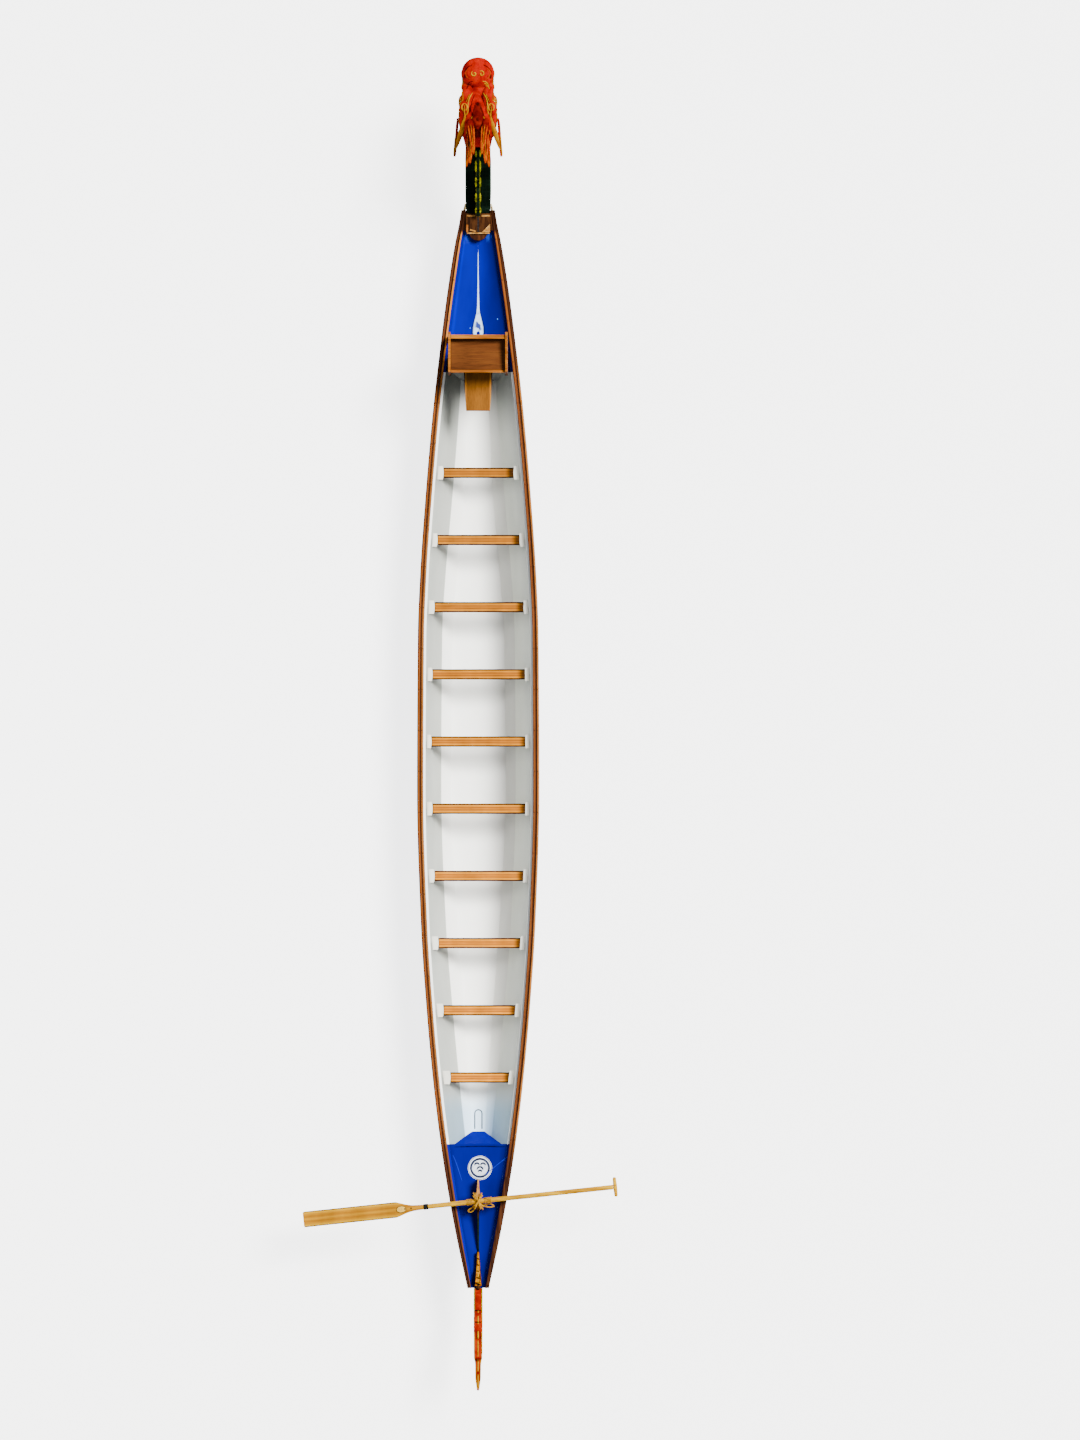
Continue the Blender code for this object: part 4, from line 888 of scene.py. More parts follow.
oarMatrix = Matrix.Translation(oarSizes["pivot"]) @ Matrix.Rotation(oarSizes["yaw"], 4, "Z")
bladeRoot = oarSizes["bladeTip"] - oarSizes["bladeLength"] - oarSizes["bladeNeck"]
bladeLight, bladeMid, bladeDark = (0.42, 0.22, 0.004), (0.31, 0.130, 0.001), (0.22, 0.082, 0.001)
bladeRim, bladeEdge = (0.05, 0.018, 0.002), (0.06, 0.022, 0.002)
bladeFinish = acrossWood("oarBladeFinish", [
    (0.0, bladeRim), (0.04, bladeEdge), (0.08, bladeLight), (0.20, bladeMid), (0.36, bladeDark),
    (0.50, (0.34, 0.15, 0.002)), (0.64, bladeDark), (0.80, bladeMid), (0.92, bladeLight), (0.96, bladeEdge),
    (1.0, bladeRim),
], "Y", 0.6, 0.05)
ovalPale = paintMaterial("bladeOvalPale", (0.32, 0.17, 0.018), (0.42, 0.24, 0.03), (0.55, 0.36, 0.07), 0.4, 20)


def oarPiece(name, bm, material, node, smooth, body="oar"):
    bmesh.ops.transform(bm, matrix=oarMatrix, verts=bm.verts)
    return addPiece(name, bm, [material], body, (node,) if node else (), smooth)


def oarPoints(points):
    return [oarMatrix @ Vector(p) for p in points]


def buildOar():
    sizes, root = oarSizes, bladeRoot
    face = -(sizes["gripEnd"] - 2 * sizes["gripRadius"])
    ys = [face + 0.0003, face + 0.004] + evenSteps(face + 0.06, root - 0.004, 0.12) + [root - 0.0003]
    radii = [sizes["shaft"] - 0.003] + [sizes["shaft"]] * (len(ys) - 1)
    oarPiece("oarShaftWood", tube([(0, y, 0) for y in ys], radii, 24), oarWood, "oar_shaft", 40)

    rows = [(root, sizes["shaft"], sizes["shaft"] * 0.8)]
    rows += [(root + along, wide, thick) for along, wide, thick in sizes["blade"]]
    places, wides, thicknesses = zip(*rows)
    widths, thicks = monotone(places, wides), monotone(places, thicknesses)
    rings = []
    for y in sorted({round(y, 6) for y in (*evenSteps(root, sizes["bladeTip"], 0.03), *places)}):
        rings.append([(widths(y) * bulge(c, 0.75), y, thicks(y) * bulge(s, 0.62))
                      for c, s in ellipse(0, 0, 1, 1, 28)])
    blade = oarPiece("oarBladeWood", closedLoft(rings), bladeFinish, "oar_blade", 50)
    back, half = oarMatrix.inverted(), sizes["bladeHalf"]
    pointValues(blade.data, "across", [((back @ v.co).x + half) / (2 * half) for v in blade.data.vertices])

    # T grip: a barrel with rounded ends
    shares = [-1 + k / 10 for k in range(21)]
    radii = []
    for t in shares:
        swell = 0.92 + 0.08 * math.cos(math.pi * t)
        end = math.sqrt(max(0.0, 1 - ((abs(t) - 0.93) / 0.07) ** 2)) if abs(t) > 0.93 else 1.0
        radii.append(sizes["gripRadius"] * swell * max(end, 0.55))
    barrel = [(sizes["gripLength"] / 2 * t, face - sizes["gripRadius"], 0) for t in shares]
    oarPiece("oarGripWood", tube(barrel, radii, 20), oarWood, "oar_grip", 50)

    inner, outer = sizes["shaft"] + 0.0003, sizes["shaft"] + 0.006
    low = sizes["bandAt"] - sizes["bandLength"] / 2
    high = low + sizes["bandLength"]
    profile = [(inner, low), (outer - 0.0015, low), (outer, low + 0.0015)]
    for k in range(1, 6):  # shallow grooves round the band
        at = low + sizes["bandLength"] * k / 6
        profile += [(outer, at - 0.0018), (outer - 0.0016, at), (outer, at + 0.0018)]
    profile += [(outer, high - 0.0015), (outer - 0.0015, high), (inner, high)]
    rings = [[(r * c, y, r * s) for r, y in profile] for c, s in ellipse(0, 0, 1, 1, 36)]
    oarPiece("oarBandRubber", closedLoft(rings, endless=True), bandBlack, "oar_band", 30)

    # pale oval plates on both faces of the blade, near its neck
    rims = []
    middle = root + 0.245
    for word, way in (("Top", 1), ("Under", -1)):
        rings = []
        for level, shrink in ((0.0005, 1.0), (0.0022, 0.96), (0.0030, 0.86)):
            z = way * (thicks(middle) * 0.985 + level)
            rings.append([(x, y, z) for y, x in ellipse(middle, 0, 0.052 * shrink, 0.034 * shrink, 28)])
        oarPiece(f"bladeOval{word}", closedLoft(rings), ovalPale, None, 40)
        z = way * thicks(middle) * 0.97
        rims.append(oarPoints([(x, y, z) for y, x in ellipse(middle, 0, 0.054, 0.036, 28, 1)]))
    return rims


ovalRims = buildOar()


# Geometry Nodes: studs set on points, and beads along lines
def openTree(name, sockets):
    tree = bpy.data.node_groups.new(name, "GeometryNodeTree")
    for word, kind, value in (("Geometry", "Geometry", None), *sockets, ("Material", "Material", None)):
        socket = tree.interface.new_socket(name=word, in_out="INPUT", socket_type="NodeSocket" + kind)
        if value is not None:
            socket.default_value = value
    tree.interface.new_socket(name="Geometry", in_out="OUTPUT", socket_type="NodeSocketGeometry")
    return tree, tree.nodes.new("NodeGroupInput").outputs


def closeTree(tree, shapes, material):  # instances are made real, then painted
    real = grow(tree, "GeometryNodeRealizeInstances", {"Geometry": shapes})
    paint = grow(tree, "GeometryNodeSetMaterial", {"Geometry": real.outputs["Geometry"], "Material": material})
    grow(tree, "NodeGroupOutput", {"Geometry": paint.outputs["Geometry"]})
    return tree


def studTree():
    # every vertex of the carrier gets a domed head, turned to the attribute facing
    tree, entry = openTree("studsOnPoints", (
        ("Radius", "Float", 0.01), ("Height", "Float", 0.004), ("Sides", "Int", 12),
        ("Variation", "Float", 0.05), ("Seed", "Int", 7),
    ))
    ball = grow(tree, "GeometryNodeMeshUVSphere", {
        "Rings": 8, "Segments": entry["Sides"], "Radius": entry["Radius"]})
    squash = combine(tree, entry["Height"], entry["Radius"], "DIVIDE")
    scale = grow(tree, "ShaderNodeCombineXYZ", {0: 1, 1: 1, 2: squash})
    flatten = grow(tree, "GeometryNodeTransform", {"Geometry": ball.outputs["Mesh"], "Scale": scale.outputs[0]})
    facing = grow(tree, "GeometryNodeInputNamedAttribute", {"Name": "facing"}, data_type="FLOAT_VECTOR")
    align = grow(tree, "FunctionNodeAlignRotationToVector", {"Vector": facing.outputs["Attribute"]}, axis="Z")
    least = combine(tree, 1.0, entry["Variation"], "SUBTRACT")
    size = grow(tree, "FunctionNodeRandomValue", {2: least, 3: 1.0, "Seed": entry["Seed"]}, data_type="FLOAT")
    put = grow(tree, "GeometryNodeInstanceOnPoints", {
        "Points": entry["Geometry"], "Instance": flatten.outputs["Geometry"],
        "Rotation": align.outputs["Rotation"], "Scale": size.outputs[1]})
    return closeTree(tree, put.outputs["Instances"], entry["Material"])


def beadTree():
    # a round bead along every line of the carrier; the attribute thick scales it
    tree, entry = openTree("beadsAlongLines", (
        ("Radius", "Float", 0.006), ("Sides", "Int", 8), ("Spacing", "Float", 0.01),
    ))
    curve = grow(tree, "GeometryNodeMeshToCurve", {"Mesh": entry["Geometry"]})
    even = grow(tree, "GeometryNodeResampleCurve", {
        "Curve": curve.outputs["Curve"], "Length": entry["Spacing"]}, mode="LENGTH")
    thick = grow(tree, "GeometryNodeInputNamedAttribute", {"Name": "thick"}, data_type="FLOAT")
    radius = grow(tree, "GeometryNodeSetCurveRadius", {
        "Curve": even.outputs["Curve"], "Radius": thick.outputs["Attribute"]})
    ring = grow(tree, "GeometryNodeCurvePrimitiveCircle", {
        "Resolution": entry["Sides"], "Radius": entry["Radius"]})
    sweep = grow(tree, "GeometryNodeCurveToMesh", {
        "Curve": radius.outputs["Curve"], "Profile Curve": ring.outputs["Curve"], "Fill Caps": True})
    if "Scale" in sweep.inputs:
        tree.links.new(thick.outputs["Attribute"], sweep.inputs["Scale"])
    return closeTree(tree, sweep.outputs["Mesh"], entry["Material"])


studNodes, beadNodes = studTree(), beadTree()


def carrierOf(name, verts, edges):
    mesh = bpy.data.meshes.new(name)
    mesh.from_pydata(verts, edges, [])
    carrier = bpy.data.objects.new(name, mesh)
    bpy.context.scene.collection.objects.link(carrier)
    return carrier


def bakeTree(name, carrier, tree, inputs, body, smooth):
    modifier = carrier.modifiers.new(name, "NODES")
    modifier.node_group = tree
    for socket in tree.interface.items_tree:
        if socket.in_out == "INPUT" and socket.name in inputs:
            modifier[socket.identifier] = inputs[socket.name]
    bpy.context.view_layer.update()
    graph = bpy.context.evaluated_depsgraph_get()
    mesh = bpy.data.meshes.new_from_object(carrier.evaluated_get(graph))
    carrier.modifiers.remove(modifier)
    bpy.data.objects.remove(carrier)
    bm = bmesh.new()
    bm.from_mesh(mesh)
    bmesh.ops.remove_doubles(bm, verts=bm.verts, dist=0.00002)
    bmesh.ops.recalc_face_normals(bm, faces=bm.faces)
    return addPiece(name, bm, list(mesh.materials), body, (), smooth)


def studs(name, places, radius, height, material, body="boat", sides=14, seed=7):
    # places are (point, the way it faces)
    carrier = carrierOf(name + "Points", [tuple(p) for p, _ in places], [])
    facing = carrier.data.attributes.new("facing", "FLOAT_VECTOR", "POINT")
    facing.data.foreach_set("vector", [c for _, way in places for c in Vector(way).normalized()])
    inputs = {"Radius": radius, "Height": height, "Sides": sides, "Seed": seed, "Material": material}
    bakeTree(name, carrier, studNodes, inputs, body, 45)


def beads(name, lines, radius, material, spacing=0.012, taper=True, body="boat", sides=8):
    # lines are lists of points; a bead thins towards its ends if taper is true
    verts, edges, thick = [], [], []
    for line in lines:
        edges += [(len(verts) + k, len(verts) + k + 1) for k in range(len(line) - 1)]
        verts += [tuple(p) for p in line]
        shares = [k / max(len(line) - 1, 1) for k in range(len(line))]
        thick += [0.35 + 0.65 * min(1.0, 6 * t, 6 * (1 - t)) if taper else 1.0 for t in shares]
    carrier = carrierOf(name + "Lines", verts, edges)
    pointValues(carrier.data, "thick", thick)
    inputs = {"Radius": radius, "Sides": sides, "Spacing": spacing, "Material": material}
    bakeTree(name, carrier, beadNodes, inputs, body, 60)


boltPlaces = []
for way in (1, -1):
    for along, high in ((0.205, 0.0165), (0.135, 0.0185)):
        boltPlaces.append((oarMatrix @ Vector((0, bladeRoot + along, way * high)), (0, 0, way)))
studs("bladeBolts", boltPlaces, 0.009, 0.004, darkBolt, "oar")
beads("bladeOvalRims", ovalRims, 0.0035, lineWood, 0.008, False, "oar")
print("oar ready")


# oar post and rope lashing
lashSizes = {
    # slanted loops: angle from across the shaft, half length, height over the shaft's axis
    "slants": ((37, 0.084, 0.061), (24, 0.104, 0.063), (12, 0.092, 0.070), (-30, 0.096, 0.076), (-42, 0.078, 0.073)),
    "tails": (
        ((-0.030, 0.040, -0.052), (-0.062, 0.070, -0.050), (-0.088, 0.118, -0.052), (-0.112, 0.104, -0.056),
         (-0.100, 0.066, -0.056), (-0.072, 0.052, -0.056)),
        ((-0.030, -0.036, -0.052), (-0.050, -0.080, -0.050), (-0.042, -0.125, -0.052), (-0.066, -0.168, -0.056)),
        ((-0.034, -0.030, -0.058), (-0.066, -0.070, -0.056), (-0.080, -0.128, -0.058), (-0.076, -0.176, -0.062)),
    ),
    "coils": ((0.070, 0.127), (-0.070, -0.150)),
}


def alongMaterial(name, stops, scale=26.0):
    # paint whose colour changes along the boat; stops are (x, colour)
    material, tree, shader = startMaterial(name)
    low, high = stops[0][0], stops[-1][0]
    share = rangeOf(tree, objectAxes(tree)[0], low, high, kind="LINEAR")
    base = ramp(tree, share, [((x - low) / (high - low), colour) for x, colour in stops])
    cloud = objectNoise(tree, (1, 1, 1), scale, 4, 0.6, 0.4)
    colour = tinted(tree, base, ramp(tree, cloud, [(0.34, 0.55), (0.5, 1.0), (0.68, 1.35)]))
    fill(tree, shader, {"Base Color": colour, "Roughness": 0.5, "Specular IOR Level": 0.04})
    addBump(tree, shader, cloud, 0.2, 0.003)
    return material


postFinish = alongMaterial("oarPostFinish", (
    (-5.50, (0.003, 0.009, 0.003)), (-5.22, (0.004, 0.008, 0.003)), (-5.12, (0.030, 0.009, 0.002)),
    (-5.03, (0.10, 0.035, 0.006)), (-4.95, (0.30, 0.125, 0.022)), (-4.80, (0.38, 0.17, 0.035))))
dress("oar_post", "oarPostWood", [postFinish], 0.006)
ropeYellow = paintMaterial(
    "ropeYellow", (0.12, 0.045, 0.002), (0.30, 0.135, 0.006), (0.46, 0.26, 0.03), 0.75, 60, bump=0.4)


def twistedStrands(centreLine, radius, twists, count=3):
    # the lines of a laid rope's strands round its centre line, which is given beside the oar
    lines = [[] for _ in range(count)]
    length, last = 0.0, None
    for p, side, ahead in frames(oarPoints(centreLine), (0.3, 0.2, 1)):
        length += 0.0 if last is None else (p - last).length
        last, other = p, ahead.cross(side)
        for s, line in enumerate(lines):
            turn = 2 * math.pi * s / count + length * twists
            line.append(p + side * (radius * math.cos(turn)) + other * (radius * math.sin(turn)))
    return lines


def rope(name, paths, strand, radius, twists, spacing, body="lashing"):
    lines = [line for path in paths for line in twistedStrands(path, strand, twists)]
    beads(name, lines, radius, ropeYellow, spacing, False, body, 6)


def buildLashing():
    sizes = oarSizes
    thick = 0.0050
    # the roll under the shaft: rope wound round the post's head, as close rings along it
    rollZ = -(sizes["shaft"] + 0.0008 + sizes["roll"])
    reach, r, count = sizes["rollHalf"] - thick, sizes["roll"] - thick, 8 * 16
    spool = []
    for k in range(count + 1):
        turn = 2 * math.pi * k / 16
        spool.append((-reach + 2 * reach * k / count, r * math.cos(turn), rollZ + r * math.sin(turn)))
    # the loop round the shaft: three close turns
    major, reach, count = sizes["shaft"] + sizes["play"] + sizes["loop"], sizes["loop"] - 0.0052, 3 * 24
    loops = []
    for k in range(count + 1):
        turn = 2 * math.pi * k / 24
        r = major + 0.002 * math.sin(turn * 0.5)
        loops.append((r * math.cos(turn), -reach + 2 * reach * k / count, r * math.sin(turn)))
    rope("lashingRope", (smoothPath(spool, 1), loops), 0.0026, 0.0030, 160, 0.004)
    # loops laid slantwise round shaft and roll, well clear of the shaft
    paths = []
    for angle, reach, over in lashSizes["slants"]:
        dx, dy = math.cos(math.radians(angle)), math.sin(math.radians(angle))
        path = []
        for c, s in ellipse(0, 0, 1, 1, 40, 1):
            along = reach * bulge(c, 0.8)
            path.append((along * dx, along * dy, bulge(s, 0.6) * (over if s > 0 else 0.071)))
        paths.append(path)
    paths += [smoothPath(tail, 6) for tail in lashSizes["tails"]]
    rope("lashingSlants", paths, 0.0042, 0.0046, 110, 0.006)
    # close turns on the shaft itself on both sides of the lashing
    paths = []
    for start, end in lashSizes["coils"]:
        count = 18 * round(abs(end - start) / 0.0115)
        path = []
        for k in range(count + 1):
            turn = 2 * math.pi * k / 18
            r = sizes["shaft"] + 0.0052 + 0.0012 * math.sin(0.31 * turn)
            path.append((r * math.cos(turn), start + (end - start) * k / count, r * math.sin(turn)))
        paths.append(path)
    rope("shaftCoils", paths, 0.0026, 0.0030, 150, 0.006, "oar")
    core = tube([(x, 0, rollZ) for x in (-sizes["rollHalf"] + 0.001, sizes["rollHalf"] - 0.001)],
                sizes["roll"] - 2 * thick + 0.001, 16)
    tube([(x, 0, z) for x, z in ellipse(0, 0, major, major, 32, 1)], 0.0065, 10, core)
    oarPiece("lashingCore", core, ropeYellow, "oar_lashing", 50, "lashing")


buildLashing()
print("lashing ready")


# dragon head
# rows from the nose aft: x, low, high, half width
headShape = {
    "skull": (
        (7.690, 1.640, 1.670, 0.020), (7.672, 1.602, 1.684, 0.054), (7.625, 1.575, 1.702, 0.104),
        (7.520, 1.547, 1.722, 0.156), (7.455, 1.528, 1.712, 0.154), (7.390, 1.507, 1.690, 0.158),
        (7.330, 1.490, 1.690, 0.164), (7.270, 1.472, 1.698, 0.171), (7.225, 1.440, 1.742, 0.183),
        (7.190, 1.340, 1.776, 0.192), (7.130, 1.290, 1.812, 0.202), (7.080, 1.262, 1.842, 0.209),
        (7.030, 1.258, 1.838, 0.211), (6.980, 1.256, 1.808, 0.209), (6.930, 1.254, 1.772, 0.200),
        (6.880, 1.254, 1.730, 0.187), (6.780, 1.254, 1.612, 0.158), (6.724, 1.254, 1.536, 0.144),
        (6.690, 1.270, 1.460, 0.125),
    ),
    "jaw": (
        (7.572, 1.165, 1.195, 0.030), (7.556, 1.150, 1.222, 0.072), (7.520, 1.110, 1.238, 0.108),
        (7.440, 1.110, 1.236, 0.128), (7.340, 1.140, 1.236, 0.136), (7.210, 1.118, 1.242, 0.160),
        (7.130, 1.100, 1.248, 0.178), (7.030, 1.086, 1.248, 0.186), (6.940, 1.078, 1.248, 0.186),
        (6.800, 1.082, 1.248, 0.158), (6.724, 1.074, 1.248, 0.144),
        (6.690, 1.100, 1.240, 0.125),
    ),
    # swellings on both sides: centre, radii and tilt in degrees
    "skullSwellings": (
        ((7.505, 0.108, 1.668), (0.086, 0.074, 0.076), 0),   # wings of the nose
        ((7.450, 0.136, 1.650), (0.064, 0.044, 0.062), 0),
        ((7.190, 0.150, 1.560), (0.110, 0.062, 0.100), 0),   # cheek bulge, eye socket rim and brow
        ((7.130, 0.166, 1.400), (0.130, 0.048, 0.110), 0),
        ((7.255, 0.118, 1.735), (0.120, 0.068, 0.048), 12),
        ((7.120, 0.142, 1.775), (0.090, 0.062, 0.060), 0),
        ((7.405, 0.092, 1.650), (0.120, 0.062, 0.050), 0),   # saddle between nose and brow, and cheek roll
        ((7.385, 0.058, 1.668), (0.120, 0.062, 0.036), 0),
        ((7.340, 0.128, 1.640), (0.110, 0.052, 0.070), 0),
        ((7.440, 0.070, 1.694), (0.019, 0.078, 0.018), 0),   # ridges of the snout's wrinkled skin
        ((7.385, 0.070, 1.692), (0.019, 0.078, 0.018), 0),
        ((7.330, 0.070, 1.690), (0.019, 0.078, 0.018), 0),
    ),
    "jawSwellings": (
        ((7.130, 0.150, 1.170), (0.120, 0.045, 0.066), 0),
        ((6.930, 0.152, 1.160), (0.110, 0.040, 0.070), 0),
        ((7.500, 0.060, 1.150), (0.055, 0.055, 0.040), 0),
    ),
    # on the centreline: nose, lump of the forehead, low crest behind it, ridge of the snout
    "middle": (
        ((7.519, 0, 1.706), (0.171, 0.183, 0.092)), ((7.110, 0, 1.830), (0.085, 0.085, 0.048)),
        ((6.990, 0, 1.800), (0.110, 0.070, 0.060)), ((7.330, 0, 1.712), (0.120, 0.060, 0.020)),
    ),
    "voxel": 0.0075, "back": 0.04, "squareness": 2.7,
}


def roundRow(x, low, high, half):
    centre, tall, power = (low + high) / 2, (high - low) / 2, 2 / headShape["squareness"]
    return [(x, half * bulge(c, power), centre + tall * bulge(s, power)) for c, s in ellipse(0, 0, 1, 1, 28)]


def ellipsoid(centre, radii, bm, tilt=0, segments=24, rings=14):
    turn = Matrix.Rotation(math.radians(tilt), 3, "Y")
    for vert in bmesh.ops.create_uvsphere(bm, u_segments=segments, v_segments=rings, radius=1)["verts"]:
        vert.co = Vector(centre) + turn @ Vector(c * r for c, r in zip(vert.co, radii))
    return bm


def ballPiece(name, centre, radii, material, segments=20, rings=10, slot="dragon_red"):
    addPiece(name, ellipsoid(centre, radii, bmesh.new(), 0, segments, rings), [material], smooth=None)


def joinInto(bm, other):
    mesh = bpy.data.meshes.new("joining")
    other.to_mesh(mesh)
    other.free()
    bm.from_mesh(mesh)
    bpy.data.meshes.remove(mesh)


def voxelSkin(bm, node, size, smoothing, back=0.0):
    # one closed skin round all the overlapping shapes, kept inside the node's box
    mesh = bpy.data.meshes.new("voxelSource")
    bm.to_mesh(mesh)
    bm.free()
    carrier = bpy.data.objects.new("voxelSource", mesh)
    bpy.context.scene.collection.objects.link(carrier)
    remesh = carrier.modifiers.new("remesh", "REMESH")
    remesh.mode, remesh.voxel_size = "VOXEL", size
    relax = carrier.modifiers.new("relax", "SMOOTH")
    relax.factor, relax.iterations = 0.5, smoothing
    bpy.context.view_layer.update()
    graph = bpy.context.evaluated_depsgraph_get()
    result = bpy.data.meshes.new_from_object(carrier.evaluated_get(graph))
    bpy.data.objects.remove(carrier)
    skin = bmesh.new()
    skin.from_mesh(result)
    bpy.data.meshes.remove(result)
    low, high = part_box(node)
    low.x -= back
    for vert in skin.verts:
        vert.co = Vector(min(max(c, a), b) for c, a, b in zip(vert.co, low, high))
    return skin


def headPiece(name, node, key, materials, smoothing):
    bm = closedLoft([roundRow(*row) for row in headShape[key]])
    middle = headShape["middle"] if key == "skull" else ()
    for centre, radii in middle[:1]:
        ellipsoid(centre, radii, bm)
    for side in (1, -1):
        for (x, y, z), radii, tilt in headShape[key + "Swellings"]:
            ellipsoid((x, side * y, z), radii, bm, tilt)
    for centre, radii in middle[1:]:
        ellipsoid(centre, radii, bm)
    skin = voxelSkin(bm, node, headShape["voxel"], smoothing, headShape["back"])
    return addPiece(name, skin, materials, replaces=(node,), smooth=None)


crestRed = paintMaterial(
    "crestDarkRed", (0.036, 0.0012, 0.0008), (0.074, 0.0030, 0.0018), (0.13, 0.008, 0.003), 0.35, 12)
skull = headPiece("dragonSkull", "dragon_head", "skull", [dragonRed, deepRed, crestRed], 6)
jaw = headPiece("dragonJaw", "lower_jaw", "jaw", [dragonRed, deepRed], 2)
# the roof and the floor of the mouth, then the dark red crest behind the brow
paintFaces(skull, 1, lambda n, c: n.z < -0.35 and c.x > 7.16 and abs(c.y) < 0.135 and c.z < 1.60)
paintFaces(skull, 1, lambda n, c: n.x > 0.6 and c.x < 7.26 and c.z < 1.47)
paintFaces(jaw, 1, lambda n, c: n.z > 0.5 and c.x > 7.16 and abs(c.y) < 0.112)
paintFaces(skull, 2, lambda n, c: n.z > 0.25 and 6.80 < c.x < 7.18 and abs(c.y) < 0.030 + 0.30 * (7.18 - c.x))
print("head skins ready")


def surfaceOf(*pieces):
    verts, polygons = [], []
    for piece in pieces:
        start = len(verts)
        verts += [v.co.copy() for v in piece.data.vertices]
        polygons += [[start + k for k in p.vertices] for p in piece.data.polygons]
    return BVHTree.FromPolygons(verts, polygons)


headSurface, jawSurface, skullSurface = surfaceOf(skull, jaw), surfaceOf(jaw), surfaceOf(skull)


def cast(surface, start, way, spare):
    # where a straight ray meets the surface, or else the surface's point nearest to spare
    hit = surface.ray_cast(Vector(start), Vector(way))[0]
    return surface.find_nearest(Vector(spare))[0] if hit is None else hit


def onSide(points, side, surface=headSurface, lift=0.002):  # points (x, z) sent straight in from that side
    return [cast(surface, (x, side * 0.6, z), (0, -side, 0), (x, side * 0.15, z)) + Vector((0, side * lift, 0))
            for x, z in points]


def onTop(points, surface=headSurface, lift=0.002):  # points (x, y) sent straight down
    return [cast(surface, (x, y, 3.0), (0, 0, -1), (x, y, 1.8)) + Vector((0, 0, lift)) for x, y in points]


def standing(points, y):  # points (x, z) on an upright plane, or at the y that a function gives
    return [Vector((x, y(x) if callable(y) else y, z)) for x, z in points]


def spread(points, steps=8):  # a smooth line through flat points
    return [(p.x, p.y) for p in smoothPath([(a, b, 0) for a, b in points], steps)]


def mirrored(points, side):
    return [(x, side * y) for x, y in points]


def sidePhoto(*pixels):  # places read on the side view: columns give height, rows length
    return [((740.5 - v) * studio["pixel"], (u - 572.0) * studio["pixel"]) for u, v in pixels]


def topPhoto(*pixels):
    return [tuple(photoPoint(u, v)[:2]) for u, v in pixels]


def spiral(x, z, radius, turns, start=0.0, way=1, steps=28):
    points = []
    for t in (k / steps for k in range(steps + 1)):
        turn, r = start + way * 2 * math.pi * turns * t, radius * (1 - 0.86 * t)
        points.append((x + r * math.cos(turn), z + r * math.sin(turn)))
    return points


headTrims = {
    "upperLip": ((714.8, 53.6), (711.6, 60), (709.2, 68), (707.5, 76), (705.5, 84), (703.2, 91.5)),
    "lowerLip": ((684.5, 61.5), (683.3, 66), (683.6, 74), (682.6, 82), (682.8, 90), (686, 95),
                 (692, 97.3), (698, 95.6), (703.8, 92.2)),
    "jawUnder": ((676.5, 58.5), (672.5, 66), (673.5, 76), (671.5, 88), (670.2, 100), (669.2, 112)),
    "cheek": ((716, 87.5), (710.5, 92), (708, 101), (702, 108), (695, 117), (689, 124.6)),
    "browLine": ((727.5, 82.5), (730.5, 88), (731.3, 95), (729.5, 101), (724.5, 105.5)),
    "noseWing": ((719.5, 61), (723.5, 66), (723.5, 73.5), (719.5, 80), (713.5, 82.5)),
    "templeA": ((722.5, 105), (716, 112), (708, 117), (699, 121)),
    "templeB": ((715, 103), (706.5, 110), (698.5, 114.5)),
    "throatA": ((683, 100), (679.5, 108), (676.5, 118), (675, 126)),
    "throatB": ((688.5, 103), (684.5, 111), (682, 120), (680.5, 127)),
    # seen from above, on each side of the hood and the snout
    "noseCurl": ((7.560, 0.105), (7.520, 0.135), (7.470, 0.125), (7.440, 0.090)),
    "hoodFore": ((7.290, 0.060), (7.230, 0.095), (7.160, 0.108), (7.080, 0.112), (7.010, 0.150)),
    "hoodAft": ((7.040, 0.060), (6.960, 0.082), (6.900, 0.115), (6.840, 0.128)),
    "creases": (
        ((7.150, 0.020), (7.060, 0.058), (6.980, 0.062)),
        ((7.280, 0.030), (7.210, 0.062), (7.130, 0.080), (7.060, 0.096)),
        ((7.600, 0.060), (7.575, 0.110), (7.520, 0.156)),
    ),
    # curls on the cheek, the jaw's hinge and the throat: x, z, radius, turns, start, way
    "curls": (
        (7.110, 1.330, 0.050, 1.3, 2.2, 1), (6.930, 1.170, 0.042, 1.2, 1.2, -1),
        (7.035, 1.500, 0.040, 1.2, 0.5, 1), (6.860, 1.420, 0.045, 1.2, 3.5, -1),
    ),
    "hinge": (7.024, 1.292, 0.020, 0.020, 20, 1),
    "spots": ((478.2, 107.5), (478.2, 123.0), (478.2, 131.5)),
}
sideLines, thickLines, topLines, wingLines, wrinkleHighlights, creases = [], [], [], [], [], []
